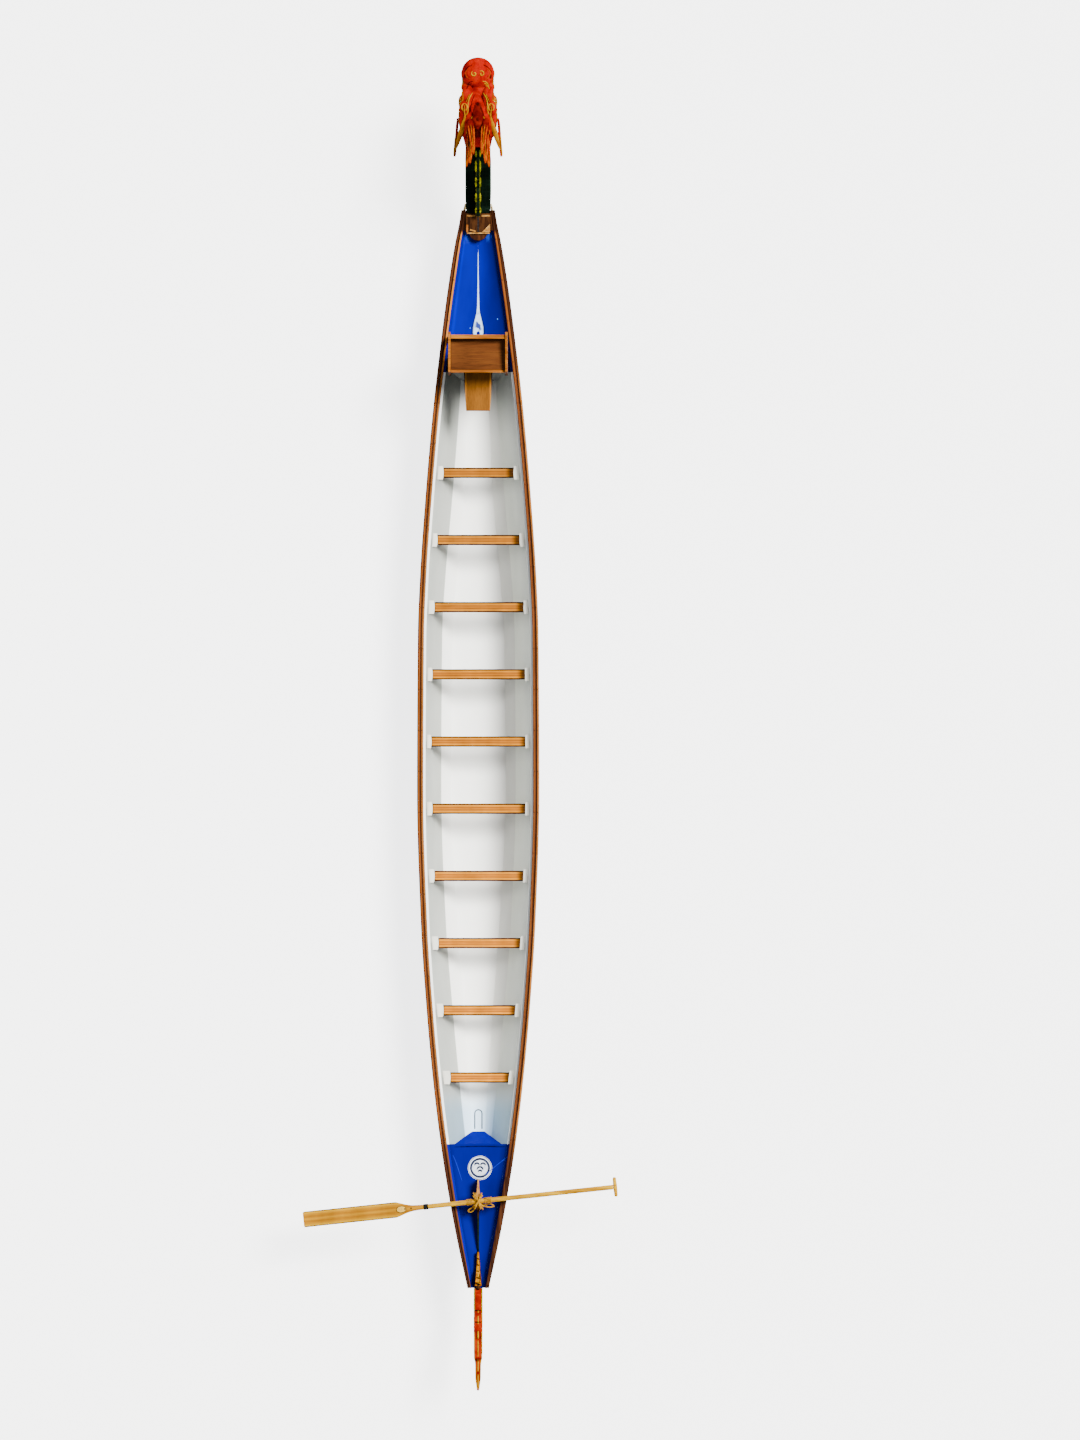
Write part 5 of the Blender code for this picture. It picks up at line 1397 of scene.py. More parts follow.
for side in (1, -1):
    for key in ("cheek", "browLine", "noseWing", "templeA", "templeB", "throatA", "throatB"):
        sideLines.append(onSide(spread(sidePhoto(*headTrims[key])), side))
    for key, surface in (("upperLip", skullSurface), ("lowerLip", jawSurface), ("jawUnder", jawSurface)):
        thickLines.append(onSide(spread(sidePhoto(*headTrims[key])), side, surface))
    sideLines += [onSide(spiral(*curl), side) for curl in headTrims["curls"]]
    sideLines.append(onSide(ellipse(*headTrims["hinge"]), side))
    topLines.append(onTop(spiral(7.502, side * 0.040, 0.034, 1.1, 0.6, side)))
    topLines.append(onTop(ellipse(7.130, side * 0.148, 0.040, side * 0.030, 20, 1)))
    topLines += [onTop(spread(mirrored(headTrims[key], side))) for key in ("hoodFore", "hoodAft")]
    # the snout's wrinkle lines: a painted highlight in yellow on the starboard side, where the light falls, painted
    # shade in deep red on the port side
    wingLines.append(onTop(spread(mirrored(headTrims["noseCurl"], side))))
    for k in range(3):
        x = 7.420 - 0.024 * k
        bent = ((x, 0.050 + 0.018 * k), (x - 0.010, 0.090 + 0.010 * k), (x - 0.040, 0.122 + 0.004 * k))
        (creases if side > 0 else wrinkleHighlights).append(onTop(spread(mirrored(bent, side)), lift=0.001))
    creases += [onTop(spread(mirrored(line, side)), lift=0.001) for line in headTrims["creases"]]
crestSpots = bmesh.new()
for spot in onTop(topPhoto(*headTrims["spots"]), lift=0.0):
    ellipsoid(spot, (0.022, 0.018, 0.007), crestSpots, 0, 12, 8)
beads("headGoldLines", sideLines, 0.0062, goldPaint, spacing=0.008)
beads("headTopCurls", topLines, 0.0072, yellowPaint, spacing=0.008)
beads("noseWingLines", wingLines, 0.0050, flameOrange, spacing=0.008)
addPiece("crestSpots", crestSpots, [deepRed], smooth=None)
# yellow painted highlight on the starboard wrinkles; the deep red lines include the painted shade on the port ones
beads("snoutWrinkleHighlights", wrinkleHighlights, 0.0052, yellowPaint, spacing=0.008)
beads("headCreases", creases, 0.0050, deepRed, spacing=0.008)
beads("headGoldLips", thickLines, 0.0125, goldPaint)
print("head lines ready")

# the eyes are set-in balls with a painted ring and a black pupil, and a gold lid round them
lids, rims = [], []
for side, word in bothSides:
    x, z = sidePhoto((722.5, 94.5))[0]
    y = onSide([(x, z)], side, lift=-0.012)[0].y
    ballPiece(f"eyeWhite{word}", (x, y, z), (0.056, 0.030, 0.048), eyeWhite, 24, 14)
    for name, wide, out, material in (
        ("eyeYellow", 0.034, 0.0275, yellowPaint), ("eyePupil", 0.021, 0.0305, blackPaint),
    ):
        ballPiece(f"{name}{word}", (x + 0.008, y + side * out, z - 0.004), (wide, 0.006, wide * 0.9), material, 20, 8)
    lids.append(onSide(ellipse(x, z, 0.066, 0.056, 32, 1), side, lift=0.004))
beads("eyeLids", lids, 0.0095, goldPaint, taper=False)
for side, word in bothSides:
    hollow = onTop([(7.475, side * 0.140)], lift=0.0)[0]
    ballPiece(f"noseHollow{word}", hollow, (0.026, 0.014, 0.010), deepRed)
    for name, pixel, (long, deep, tall) in (
        ("nostril", (716.3, 76.8), (0.026, 0.008, 0.020)),
        ("earSlit", (718.0, 107.5), (0.026, 0.006, 0.010)),
    ):
        x, z = sidePhoto(pixel)[0]
        ballPiece(f"{name}{word}", onSide([(x, z)], side, lift=0.0)[0], (long, deep, tall), blackPaint)
        rims.append(onSide(ellipse(x, z, long + 0.010, tall + 0.010, 24, 1), side))
beads("nostrilRims", rims, 0.0060, goldPaint, spacing=0.006, taper=False)
print("eyes ready")

# fangs at both jaw tips and small teeth behind them, each a bent cone: x, y, z, length, width
teeth = {
    "upper": (
        (7.610, 0.070, 1.592, 0.075, 0.016), (7.560, 0.112, 1.568, 0.060, 0.014),
        (7.500, 0.130, 1.552, 0.048, 0.012), (7.440, 0.134, 1.538, 0.042, 0.011),
        (7.380, 0.138, 1.520, 0.038, 0.010), (7.320, 0.142, 1.505, 0.036, 0.010),
    ),
    "lower": (
        (7.535, 0.045, 1.222, 0.055, 0.013), (7.500, 0.085, 1.228, 0.075, 0.015),
        (7.440, 0.104, 1.226, 0.046, 0.011), (7.385, 0.110, 1.226, 0.040, 0.010),
        (7.330, 0.114, 1.226, 0.036, 0.010),
    ),
    "sink": 0.012,
}
toothBm = bmesh.new()
for side in (1, -1):
    for key, way, lean in (("upper", -1, 0.012), ("lower", 1, 0.014)):
        for x, y, z, length, width in teeth[key]:
            foot = Vector((x, side * y, z - way * teeth["sink"]))
            tip = Vector((x - lean, side * y, z + way * length))
            bend = (foot + tip) / 2 + Vector((0.10 * (tip - foot).length, 0, 0))
            path = smoothPath([foot, bend, tip], 4)
            tube(path, [width * (1 - 0.93 * k / (len(path) - 1)) for k in range(len(path))], 8, toothBm)
addPiece("dragonTeeth", toothBm, [toothWhite], smooth=60)

tongueSizes = {
    "line": ((7.250, 0, 1.262), (7.330, 0, 1.300), (7.390, 0, 1.340), (7.430, 0, 1.352),
             (7.470, 0, 1.330), (7.515, 0, 1.305), (7.545, 0, 1.330)),
    # its root on the jaw: x, half width, height
    "root": ((7.252, 0.030, 1.270), (7.300, 0.044, 1.300), (7.400, 0.040, 1.330), (7.440, 0.026, 1.335)),
    "low": 1.2475,
}
path = smoothPath(tongueSizes["line"], 5)
tongueBm = tube(path, [0.047 * (1 - 0.72 * (k / (len(path) - 1)) ** 1.6) for k in range(len(path))], 16, None, 0.45)
low = tongueSizes["low"]
joinInto(tongueBm, closedLoft([[(x, -w, low), (x, w, low), (x, 0.8 * w, h), (x, -0.8 * w, h)]
                               for x, w, h in tongueSizes["root"]]))
addPiece("dragonTongue", voxelSkin(tongueBm, "tongue", 0.005, 3), [dragonRed],
         replaces=("tongue",), smooth=None)
print("mouth ready")


# neck, crest, manes, flame collars and bow brackets
def scaleMaterial(name, dark, mid, light, scale=26.0, roughness=0.24):
    # painted carving with rows of scales, lighter along their edges
    material, tree, shader = startMaterial(name)
    cells = grow(tree, "ShaderNodeTexVoronoi", {}, feature="DISTANCE_TO_EDGE")
    away = fill(tree, cells, {"Scale": scale, "Randomness": 0.35, "Vector": objectPlace(tree)}).outputs["Distance"]
    cloud = objectNoise(tree, (1, 1, 1), 4.0, 4, 0.6, 0.3)
    base = ramp(tree, cloud, [(0.35, dark), (0.55, mid), (0.75, light)])
    colour = tinted(tree, base, ramp(tree, away, [(0.02, 1.9), (0.10, 1.0), (0.35, 0.85)]), 0.7)
    gloss = ramp(tree, cloud, [(0.3, roughness + 0.10), (0.7, roughness)])
    fill(tree, shader, {"Base Color": colour, "Roughness": gloss, "Specular IOR Level": 0})
    addBump(tree, shader, away, 0.35, 0.004)
    return material


neckGreen = scaleMaterial(
    "neckScaleGreen", (0.0010, 0.0022, 0.0014), (0.0020, 0.0050, 0.0028), (0.0045, 0.014, 0.007))
neckHighlightGreen = paintMaterial("paintedHighlightGreen", (0.05, 0.10, 0.055), (0.08, 0.15, 0.085), (0.14, 0.23, 0.14))
crestYellow = paintMaterial(
    "crestYellow", (0.04, 0.05, 0.0004), (0.13, 0.125, 0.0004), (0.24, 0.21, 0.0008), 0.3, 22)
maneRed = paintMaterial(
    "maneRedPaint", (0.020, 0.0008, 0.0004), (0.075, 0.0012, 0.0004), (0.145, 0.004, 0.0005), 0.3, 14)
neckPiece = dress("dragon_neck", "neckSkin", [neckGreen], 0.020, 4, 40)
neckSizes = {
    "half": 0.139,
    "backLine": ((6.10, 0.822), (6.24, 0.968), (6.40, 1.120), (6.546, 1.252)),
    "frontLine": ((6.13, 0.676), (6.26, 0.742), (6.40, 0.825), (6.52, 0.915), (6.62, 1.010)),
    "crestHalf": 0.020,
    "marks": ((6.668, 6.593), (6.549, 6.425), (6.365, 6.265), (6.200, 6.105), (6.040, 5.985)),  # from above
    # root and tip of each hook of the crest
    "hooks": (
        ((6.600, 1.369), (6.345, 1.440)), ((6.480, 1.244), (6.277, 1.320)), ((6.370, 1.132), (6.150, 1.195)),
        ((6.260, 1.018), (6.024, 1.100)), ((6.160, 0.934), (5.943, 0.995)),
    ),
}
# the pale green bead along each side of the neck is a painted highlight; the dark green bead runs along its front
for name, key, radius, material in (
    ("neckHighlightLine", "backLine", 0.0042, neckHighlightGreen), ("neckDarkLine", "frontLine", 0.0055, dragonGreen),
):
    lines = [standing(spread(neckSizes[key]), side * neckSizes["half"]) for side in (1, -1)]
    beads(name, lines, radius, material, 0.02)


def flatCurve(start, control, end, steps):
    return [tuple((1 - t) ** 2 * a + 2 * t * (1 - t) * b + t * t * c for a, b, c in zip(start, control, end))
            for t in (k / steps for k in range(steps + 1))]


crest = dress("neck_crest", "crestHooks", [neckGreen], 0.005, 3, 40)
crestSurface = surfaceOf(crest, neckPiece, skull)
crestLines, crestRims = [], []
for side in (1, -1):
    y = side * (neckSizes["crestHalf"] - 0.001)
    for start, end in neckSizes["marks"]:
        line = onTop(between((start, y), (end, y), 11), crestSurface, -0.004)
        crestLines.append([p + Vector((0, side * 0.004, 0)) for p in line])
    for (x, z), tip in neckSizes["hooks"]:
        x, z = x - 0.012, z + 0.013
        back = flatCurve((x, z), (x - 0.45 * (x - tip[0]), z + 0.11), tip, 12)
        crestRims.append(standing([(bx, bz - 0.018) for bx, bz in back], side * (neckSizes["crestHalf"] - 0.0030)))
beads("crestMarks", crestLines, 0.0105, crestYellow, 0.010)
beads("crestRims", crestRims, 0.0050, crestYellow)
foot = boxInto(bmesh.new(), (5.985, -0.128, 0.800), (6.115, 0.128, 0.868))  # between the neck and its step
softenEdges(addPiece("neckFoot", foot, [neckGreen]), 0.010, 3)
print("neck ready")

maneSizes = {
    "away": 0.085,           # from the centreline
    # root, bend, tip and width of each strand, as (x, z)
    "strands": (
        ((6.97, 1.800), (6.78, 2.020), (6.600, 2.188), 0.095),
        ((6.90, 1.720), (6.66, 1.940), (6.500, 2.095), 0.100),
        ((6.84, 1.640), (6.62, 1.740), (6.470, 1.835), 0.085),
    ),
    "halfThick": 0.040,
    "steps": 40,
}


def buildMane(side, word):
    bm = bmesh.new()
    upperEdges, sideEdges = [], []
    steps = maneSizes["steps"]
    for index, (foot, bend, tip, width) in enumerate(maneSizes["strands"]):
        centre = flatCurve(foot, bend, tip, steps)
        rings, upper, outer, inner = [], [], [], []
        for i, (x, z) in enumerate(centre):
            t = i / steps
            ahead, behind = centre[min(i + 1, steps)], centre[max(i - 1, 0)]
            way = Vector((ahead[0] - behind[0], 0, ahead[1] - behind[1])).normalized()
            across = Vector((-way.z, 0, way.x))
            wave = 0.014 * math.sin(2 * math.pi * 2.2 * t) * min(1, 3 * t)
            half = 0.5 * width * (1 - t) ** 0.7 + 0.003
            thick = maneSizes["halfThick"] * (1 - t) ** 0.75 + 0.003
            splay = (index - 1) * 0.045 * (foot[0] - x) / 0.4
            middle = Vector((x, side * (maneSizes["away"] + splay), z)) + across * wave
            rings.append([middle + across * c + Vector((0, s, 0)) for c, s in ellipse(0, 0, half, thick, 16)])
            if 0.16 < t < 0.985:
                upper.append(middle - across * half)
                for line, y in ((outer, 0.80 * thick), (inner, -0.80 * thick)):
                    line.append(middle - across * (0.62 * half) + Vector((0, y, 0)))
        joinInto(bm, closedLoft(rings))
        upperEdges.append(upper)
        sideEdges += [outer, inner]
    addPiece(f"maneStrands{word}", bm, [maneRed], replaces=(f"mane_{word.lower()}",), smooth=60)
    return upperEdges, sideEdges


upperEdges, sideEdges = (a + b for a, b in zip(*(buildMane(side, word) for side, word in bothSides)))
beads("maneGoldEdges", upperEdges, 0.0042, goldPaint)
beads("maneOrangeEdges", sideEdges, 0.0092, flameOrange)
print("manes ready")

collarSizes = {
    # outline of one side from the cheek aft, as (x, z)
    "outline": (
        (7.020, 1.130), (6.700, 1.085), (6.860, 1.190), (6.640, 1.185), (6.840, 1.290),
        (6.600, 1.325), (6.820, 1.400), (6.590, 1.445), (6.840, 1.520), (7.020, 1.560),
    ),
    "centre": 0.2249,
    "halfThick": 0.012,
    # gold flame on each side of the hood, seen from above: x, y, half width, height
    "flame": (
        (7.273, 0.092, 0.005, None), (7.200, 0.124, 0.007, None), (7.120, 0.150, 0.009, None),
        (7.040, 0.142, 0.014, None), (6.980, 0.150, 0.025, 1.745), (6.920, 0.168, 0.031, 1.690),
        (6.860, 0.188, 0.031, 1.630), (6.800, 0.208, 0.028, 1.580), (6.740, 0.228, 0.021, 1.535),
        (6.690, 0.244, 0.012, 1.500), (6.663, 0.252, 0.003, 1.480),
    ),
}


def collarAt(x):
    away = (7.02 - x) / 0.4
    return collarSizes["centre"] + (0.030 * away ** 1.3 if away > 0 else 0.0)


flameYellow = paintMaterial(
    "flameYellow", (0.19, 0.042, 0.0002), (0.29, 0.105, 0.0002), (0.33, 0.165, 0.0003), 0.35)
collarLines, flameRidges, flameBorders = [], [], []
flames = bmesh.new()
for side, word in bothSides:
    node = "collar_" + word.lower()
    collarBm = nodeCopy(node)
    for vert in collarBm.verts:  # the points stand a little closer to the neck
        vert.co.y -= side * 0.045 * max(0.0, (7.02 - vert.co.x) / 0.4) ** 1.3
    dress(node, f"flameCollar{word}", [dragonRed], 0.006, 3, 40, collarBm)
    outline = collarSizes["outline"]

    def face(x):
        return side * (collarAt(x) + collarSizes["halfThick"] + 0.001)

    collarLines += [standing(between(a, b, 9, 0.04, 0.96), face) for a, b in zip(outline[:-2], outline[1:])]
    for before, tip, after in zip(outline[0::2], outline[1::2], outline[2::2]):  # a vein on each point
        middle = ((before[0] + after[0]) / 2, (before[1] + after[1]) / 2)
        flameRidges.append(standing(between(middle, tip, 7, 0.0, 0.82), face))
    # the gold flame lies on the hood, then follows the collar's highest point
    path, halves = [], []
    for x, y, half, z in collarSizes["flame"]:
        path.append(Vector((x, side * y, onTop([(x, side * y)], lift=0.004)[0].z if z is None else z)))
        halves.append(half)
    fine = smoothPath(path, 5)
    wide = [width for a, b in zip(halves, halves[1:]) for width in (a + (b - a) * k / 5 for k in range(5))]
    wide.append(halves[-1])
    tube(fine, wide, 14, flames, 0.55)
    for way in (1, -1):  # border on both sides of the flame
        flameBorders.append([p + Vector((0, way * max(w * 0.86, 0.006), 0.004)) for p, w in zip(fine, wide)])
beads("collarGoldEdges", collarLines, 0.0085, flameYellow)
beads("collarVeins", flameRidges, 0.0055, flameOrange)
addPiece("hoodFlames", flames, [flameYellow], smooth=60)
beads("hoodFlameBorders", flameBorders, 0.0050, deepRed)
print("collars ready")

bracketSizes = {
    "plate": ((627.2, 193.8), (642.1, 201.1), (639.0, 207.2), (621.4, 204.5)),
    "bolts": ((631.4, 198.4), (632.5, 201.8)),
    "barX": (5.877, 5.923),
    "barZ": (0.515, 0.722),
    "barBolt": (5.899, 0.702),
}
borders, plateBolts, barBolts = [], [], []
for side, word in bothSides:
    plate = dress("neck_bracket_" + word.lower(), f"bowBracket{word}", [plateCream], 0.003, 3, 40)
    plateSurface = surfaceOf(plate)
    corners = sidePhoto(*bracketSizes["plate"])
    middle = [sum(values) / 4 for values in zip(*corners)]
    loop = [between(middle, corner, 2, 0.0, 0.84)[1] for corner in (*corners, corners[0])]
    dense = [point for a, b in zip(loop, loop[1:]) for point in between(a, b, 7)[:-1]]
    borders.append(onSide(dense + loop[-1:], side, plateSurface, 0.0))
    for point in onSide(sidePhoto(*bracketSizes["bolts"]), side, plateSurface, 0.0):
        plateBolts.append((point, (0, side, 0)))
    (aft, fore), rings = bracketSizes["barX"], []
    for (z,) in between(*((end,) for end in bracketSizes["barZ"]), 9):
        corners = ((aft, 0.012), (fore, 0.012), (fore, -0.004), (aft, -0.004))
        rings.append([(x, side * (outerWall(x, z) + away), z) for x, away in corners])
    softenEdges(addPiece(f"bowBracketBar{word}", closedLoft(rings), [plateCream], smooth=40),
                0.003, 3)
    x, z = bracketSizes["barBolt"]
    barBolts.append((Vector((x, side * (outerWall(x, z) + 0.012), z)), (0, side, 0)))
beads("bracketBorders", borders, 0.0045, plateCream, taper=False)
studs("bracketBolts", plateBolts, 0.011, 0.005, darkBolt)
studs("bracketBarBolts", barBolts, 0.016, 0.007, darkBolt)
print("brackets ready")


# tail: root on the aft deck, base on the stern, flame behind it
tailSizes = {
    "half": 0.042, "rootThick": 0.014, "limit": -7.101,
    # half width of the flame and of the root along the boat
    "flameHalf": ((-6.10, 0.042), (-6.33, 0.044), (-6.75, 0.041), (-6.80, 0.028), (-6.97, 0.026), (-7.11, 0.006)),
    "rootHalf": ((-5.50, 0.010), (-5.70, 0.015), (-5.85, 0.026), (-5.96, 0.040)),
    "midrib": ((-6.175, 0.760), (-6.300, 0.815), (-6.420, 0.900), (-6.530, 0.965), (-6.640, 1.020), (-6.720, 1.030)),
    "leaf": ((628, 1291), (634, 1292.5), (640, 1296), (642, 1300), (636, 1299.5), (630, 1296), (628, 1291)),
    "smallLeaf": ((643, 1297), (646, 1297.5), (648, 1299.5), (647, 1302), (644.5, 1300.5), (643, 1297)),
    "ring": ((652.5, 1295), 0.033),
    "ridges": ((-6.150, -6.255), (-6.285, -6.400), (-6.425, -6.535), (-6.550, -6.735), (-6.760, -6.900),
               (-6.925, -7.080)),
    "knob": ((-5.935, 0, 0.857), (0.070, 0.032, 0.056)),
}


def alongTable(table, x):
    rows = sorted(table)
    if x <= rows[0][0]:
        return rows[0][1]
    for (x0, a), (x1, b) in zip(rows, rows[1:]):
        if x <= x1:
            return a + (b - a) * (x - x0) / (x1 - x0)
    return rows[-1][1]


def outlineOf(node):  # the side outline of a flat node, as (x, z), in order round it
    bm = nodeCopy(node)
    faces = sorted((f for f in bm.faces if abs(f.normal.y) > 0.9), key=lambda f: -f.calc_area())
    loop = [(v.co.x, v.co.z) for v in faces[0].verts]
    bm.free()
    return loop


tailBlade = paintMaterial(
    "tailRedPaint", (0.06, 0.001, 0.0003), (0.17, 0.004, 0.0004), (0.27, 0.020, 0.0005), 0.3, 7)
rootPaint = paintMaterial(
    "tailRootPaint", (0.010, 0.004, 0.0006), (0.30, 0.085, 0.0004), (0.46, 0.21, 0.0008), 0.35, 17)


def thinned(node, table, half):  # the node's shape with a half width that changes along it
    bm = nodeCopy(node)
    for vert in bm.verts:
        vert.co.y *= alongTable(table, vert.co.x) / half
    return bm


flameBm = thinned("tail_flame", tailSizes["flameHalf"], tailSizes["half"])
dress("tail_flame", "tailFlame", [tailBlade], 0.007, 3, 30, flameBm)
base = dress("tail_base", "tailBase", [neckGreen, tailBlade], 0.006, 3, 30)
paintFaces(base, 1, lambda normal, centre: normal.z > 0.35)  # the flame's red runs on along the top
rootBm = thinned("tail_root", tailSizes["rootHalf"], tailSizes["rootThick"])
dress("tail_root", "tailRoot", [rootPaint], 0.004, 3, 30, rootBm)


def edgeLines(loop, test, offset):
    # runs of the outline whose edges face the way that the test asks, on both faces
    area = sum(a[0] * b[1] - b[0] * a[1] for a, b in zip(loop, loop[1:] + loop[:1]))
    turn = math.copysign(1, area)
    lines = []
    for a, b in zip(loop, loop[1:] + loop[:1]):
        length = math.dist(a, b)
        out = (turn * (b[1] - a[1]) / length, -turn * (b[0] - a[0]) / length)
        if length > 0.01 and test(b, *out):
            lines.append([(max(x - out[0] * 0.004, tailSizes["limit"]), z - out[1] * 0.004)
                          for x, z in between(a, b, 7)])
    return [standing(line, lambda x: side * offset(x)) for side in (1, -1) for line in lines]


def flameFace(x):
    return alongTable(tailSizes["flameHalf"], x) - 0.002


flameLoop, baseLoop, rootLoop = outlineOf("tail_flame"), outlineOf("tail_base"), outlineOf("tail_root")
for name, loop, test, offset, radius, material, slot in (
    ("tailGoldEdges", flameLoop, lambda b, x, z: z > 0.25 or (x < -0.5 and z > -0.2), flameFace,
     0.0072, goldPaint, "dragon_red"),
    ("tailOrangeEdges", flameLoop, lambda b, x, z: z < -0.35 and b[0] < -6.2, flameFace,
     0.0055, flameOrange, "dragon_red"),
    ("tailBaseEdges", baseLoop, lambda b, x, z: x < -0.3 or z > 0.5 or z < -0.6, lambda x: tailSizes["half"],
     0.0075, crestYellow, "dragon_green"),
    ("tailRootEdges", rootLoop, lambda b, x, z: z > 0.1 or x < -0.5,
     lambda x: alongTable(tailSizes["rootHalf"], x) - 0.001, 0.0042, blackPaint, "dragon_green"),
):
    beads(name, edgeLines(loop, test, offset), radius, material, taper=False)
ribs = []
for side in (1, -1):
    leaves = [spread(sidePhoto(*tailSizes[key]), 4) for key in ("leaf", "smallLeaf")]
    for line in (spread(tailSizes["midrib"]), *leaves):
        ribs.append(standing(line, lambda x: side * flameFace(x)))
    pixel, radius = tailSizes["ring"]
    ribs.append(standing(ellipse(*sidePhoto(pixel)[0], radius, radius, 28, 1), side * tailSizes["half"]))
beads("tailMidribs", ribs, 0.0085, goldPaint)


def topRidge(loop, x):  # the highest point of the outline at x
    heights = []
    for a, b in zip(loop, loop[1:] + loop[:1]):
        if (a[0] - x) * (b[0] - x) <= 0 and abs(a[0] - b[0]) > 1e-6:
            heights.append(a[1] + (b[1] - a[1]) * (x - a[0]) / (b[0] - a[0]))
    return max(heights)


# a broken yellow line along the top, as seen from above
ridges = [[Vector((x, 0, topRidge(flameLoop, x))) for (x,) in between((start,), (end,), 25)]
          for start, end in tailSizes["ridges"]]
beads("tailTopLine", ridges, 0.0080, yellowPaint)
rootRidge, rootGaps = [], []
fore, reach = max(x for x, z in rootLoop) - 0.012, min(x for x, z in rootLoop) + 0.012
for k in range(5):
    start = fore + (reach - fore) * k / 5
    bent = [(start + (reach - fore) * j / 38, 0.004 * math.sin(2.1 * j + k)) for j in range(7)]
    rootRidge.append([Vector((x, y, topRidge(rootLoop, x) - 0.001)) for x, y in bent])
    x = start + (reach - fore) * 0.178
    high, half = topRidge(rootLoop, x) - 0.004, alongTable(tailSizes["rootHalf"], x) * 0.8
    rootGaps.append([Vector((x + 0.008 * s, s * half, high)) for s in (-1, -0.5, 0, 0.5, 1)])
beads("tailRootRidge", rootRidge, 0.0075, yellowPaint, 0.008)
beads("tailRootGaps", rootGaps, 0.0085, blackPaint, 0.006)
ballPiece("sternKnob", *tailSizes["knob"], stepWood, 24, 14, "rail_dark")
# the root's thin fore end runs on to the oar post
tip = [(x, 0.0, deckHeight(x, 0) + 0.010) for x in evenSteps(-5.62, -5.40, 0.03)]
addPiece("tailRootTip", tube(tip, [0.012 - 0.006 * k / (len(tip) - 1) for k in range(len(tip))], 12),
         [neckGreen], smooth=60)
print("tail ready")
dress("rail_board_starboard", "railBoard", [railDark], 0.004, 3, 30)
print("rail board ready")


# plain stickers, wave motif, bolts and small marks
markSizes = {
    "disc": (-4.646, -0.020, 0.135),
    "discRing": (0.088, 0.112),
    "plate": (-4.810, 0.640, 0.256, 0.197),
    "motifStart": 4.985, "motifPitch": 0.112, "motifCount": 7, "motifHeight": 0.628,
    "motifRadii": (0.050, 0.034, 0.018),
    "deckDot": (4.655, 0.0), "deckSpots": ((4.811, -0.215), (4.711, 0.091)),
    # on the aft deck's disc, each an arc: offsets and radius
    "swirls": ((0.028, 0.034, 0.026), (0.028, -0.034, 0.026), (-0.022, 0.0, 0.034), (-0.046, 0.0, 0.020)),
    "creases": (((452.8, 1155), (456.5, 1164), (462, 1181)), ((510, 1155), (497, 1165), (483, 1177))),
    "joint": ((454, 1147), (480, 1146.4), (508, 1146.8)),
    "arch": (-4.223, -4.010, 0.040),
}


def onDeck(points, lift=0.0):
    return [Vector((x, y, deckHeight(x, y) + lift)) for x, y in points]


def discOn(name, inner, outer, thick, material):
    # a flat ring or disc that follows the aft deck
    radii = [max(inner + (outer - inner) * k / 6, 0.0005) for k in range(7)]
    layers = [[onDeck(ellipse(discX, discY, radius, radius, 48), lift) for radius in radii]
              for lift in (thick, -0.001)]
    bm = closedLoft(layers[0] + layers[1][::-1], endless=True)
    addPiece(name, bm, [material], smooth=40)


discX, discY, radius = markSizes["disc"]
discOn("deckDiscWhite", 0.0, radius, 0.0012, stickerWhite)
discOn("deckDiscRing", *markSizes["discRing"], 0.0020, stickerGrey)
discOn("deckDiscEdge", radius - 0.010, radius - 0.004, 0.0020, stickerGrey)
swirls = [onDeck(ellipse(discX + dx, discY + dy, r, r, 24, start=-math.pi / 2)[:13], 0.0012)
          for dx, dy, r in markSizes["swirls"]]
beads("deckDiscWaves", swirls, 0.0095, stickerGrey, 0.006)

# the plain plate on the hull's port side, with cut corners
x, z, long, tall = markSizes["plate"]
rings = []
for i in range(9):
    at = x - long / 2 + long * i / 8
    half = tall / 2 - (0.22 * tall if i in (0, 8) else 0.0)
    row = [(at, outerWall(at, height) + 0.0016, height) for height in (z - half + half * k / 3 for k in range(7))]
    rings.append(row + [(px, py - 0.0030, pz) for px, py, pz in reversed(row)])
addPiece("sidePlatePort", closedLoft(rings), [stickerWhite], smooth=40)
waves = []
for side in (1, -1):
    for k in range(markSizes["motifCount"]):
        at = markSizes["motifStart"] + k * markSizes["motifPitch"]
        for radius in markSizes["motifRadii"]:
            arc = ellipse(at, markSizes["motifHeight"], radius, radius, 32)[:17]
            waves.append([Vector((x, side * (outerWall(x, z) + 0.0005), z)) for x, z in arc])
beads("hullWaveMotif", waves, 0.0042, motifYellow, 0.008, False)

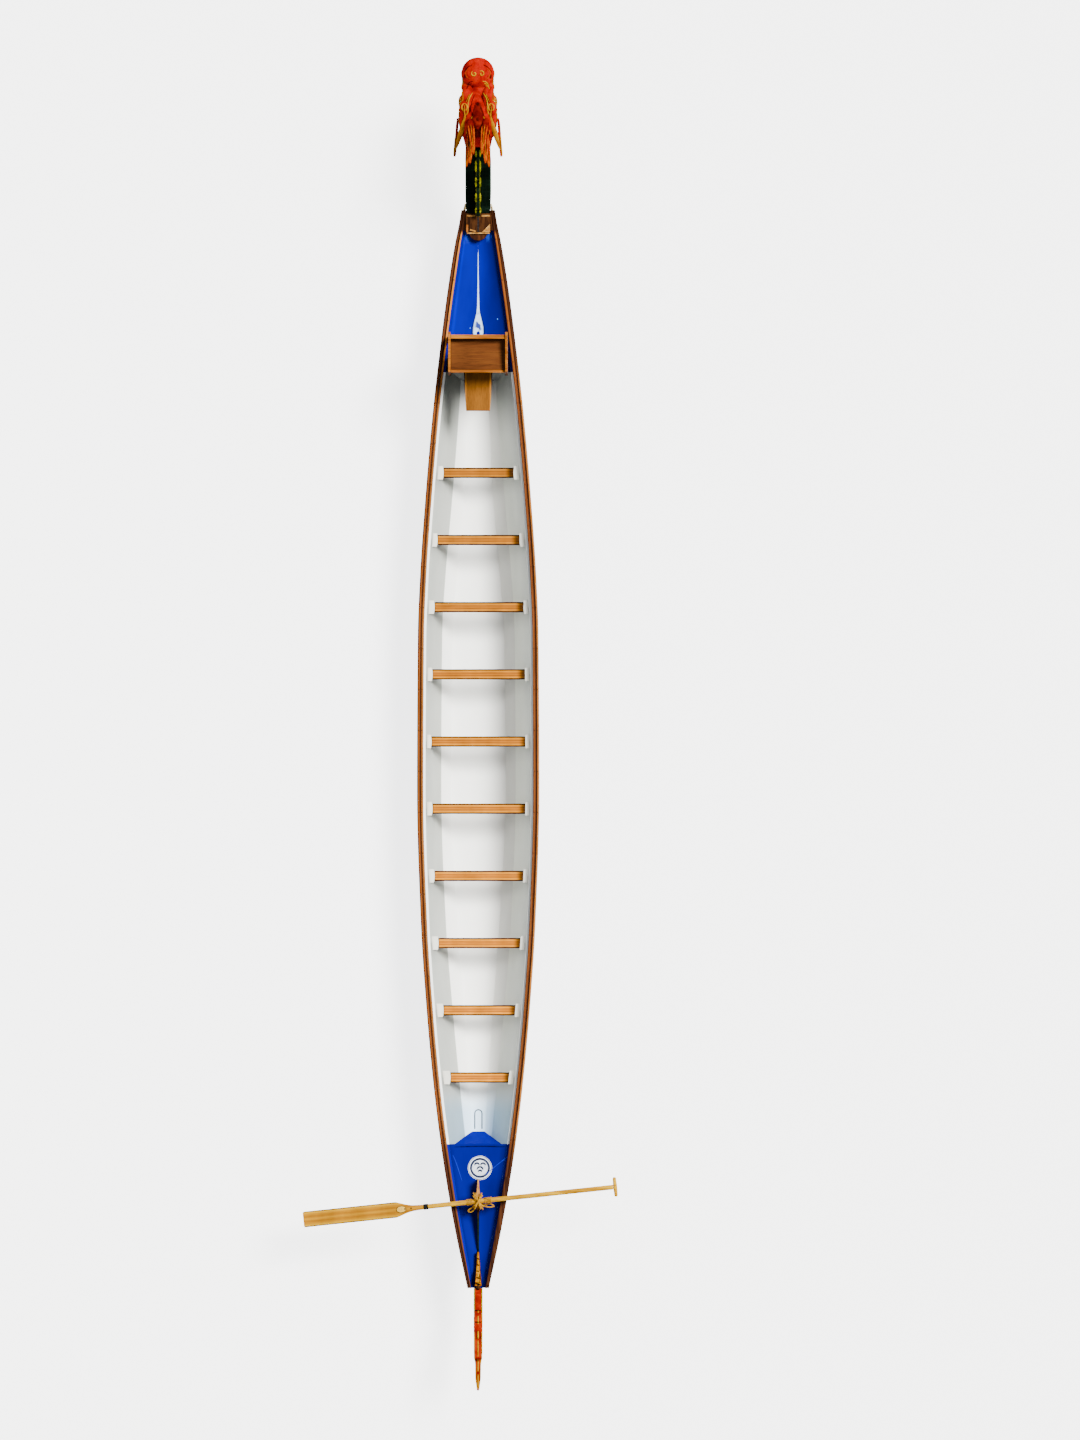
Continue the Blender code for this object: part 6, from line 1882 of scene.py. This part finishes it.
capBlue = paintMaterial("capPaleBlue", (0.020, 0.07, 0.40), (0.05, 0.14, 0.52), (0.10, 0.24, 0.62), 0.3, 20)
creaseHighlightBlue = paintMaterial("creaseHighlightBlue", (0.002, 0.008, 0.26), (0.005, 0.020, 0.36), (0.012, 0.04, 0.44), 0.3, 20)
lowBlue = paintMaterial(
    "jointDarkBlue", (0.0004, 0.0010, 0.020), (0.0008, 0.002, 0.035), (0.002, 0.005, 0.06), 0.4, 20)
# pale blue lines along the aft deck's creases: painted highlights
lines = [onDeck(spread(topPhoto(*line)), -0.0005) for line in markSizes["creases"]]
beads("deckCreaseHighlights", lines, 0.0042, creaseHighlightBlue, 0.008)
beads("deckJointLine", [onDeck(spread(topPhoto(*markSizes["joint"]), 16), -0.0005)], 0.0070, lowBlue,
      0.010)
for name, places, radius, material in (
    ("deckDrainPlug", (markSizes["deckDot"],), 0.020, hullBlue), ("deckCaps", markSizes["deckSpots"], 0.009, capBlue),
):
    studs(name, [(point, upwards) for point in onDeck(places)], radius, 0.004, material)
seatBolts = [((x, side * seatSizes["half"], z), (0, side, 0)) for side in (1, -1) for x, z in seatSizes["boltHoles"]]
studs("seatBolts", seatBolts, seatSizes["boltRadius"], 0.004, darkBolt)

low, high, half = markSizes["arch"]
edge = [x for (x,) in between((low,), (high - half,), 7)]
arch = [(x, half) for x in edge]
arch += [(x, y) for y, x in ellipse(0, high - half, half, half, 24)[1:12]]
arch += [(x, -half) for x in edge[::-1]]
beads("sternFloorArch", [[Vector((x, y, floorHeight(x) + 0.001)) for x, y in arch]], 0.006, stickerGrey,
      taper=False)

# plugs over the screws along both rails, but not beside the extra board
plugs = []
for side in (1, -1):
    for x in evenSteps(-5.70, 5.70, 0.475):
        height = hullAt("sheer", x) + railSizes["lift"] + railSizes["height"]
        if side > 0 or x >= -4.7:
            plugs += [((x, side * (hullAt("rail", x) - hullAt("railWidth", x) * share), height), upwards)
                      for share in (0.27, 0.78)]
studs("railPlugs", plugs, 0.0062, 0.0014, railDark, sides=10)
print("marks ready")

print("pieces ready")
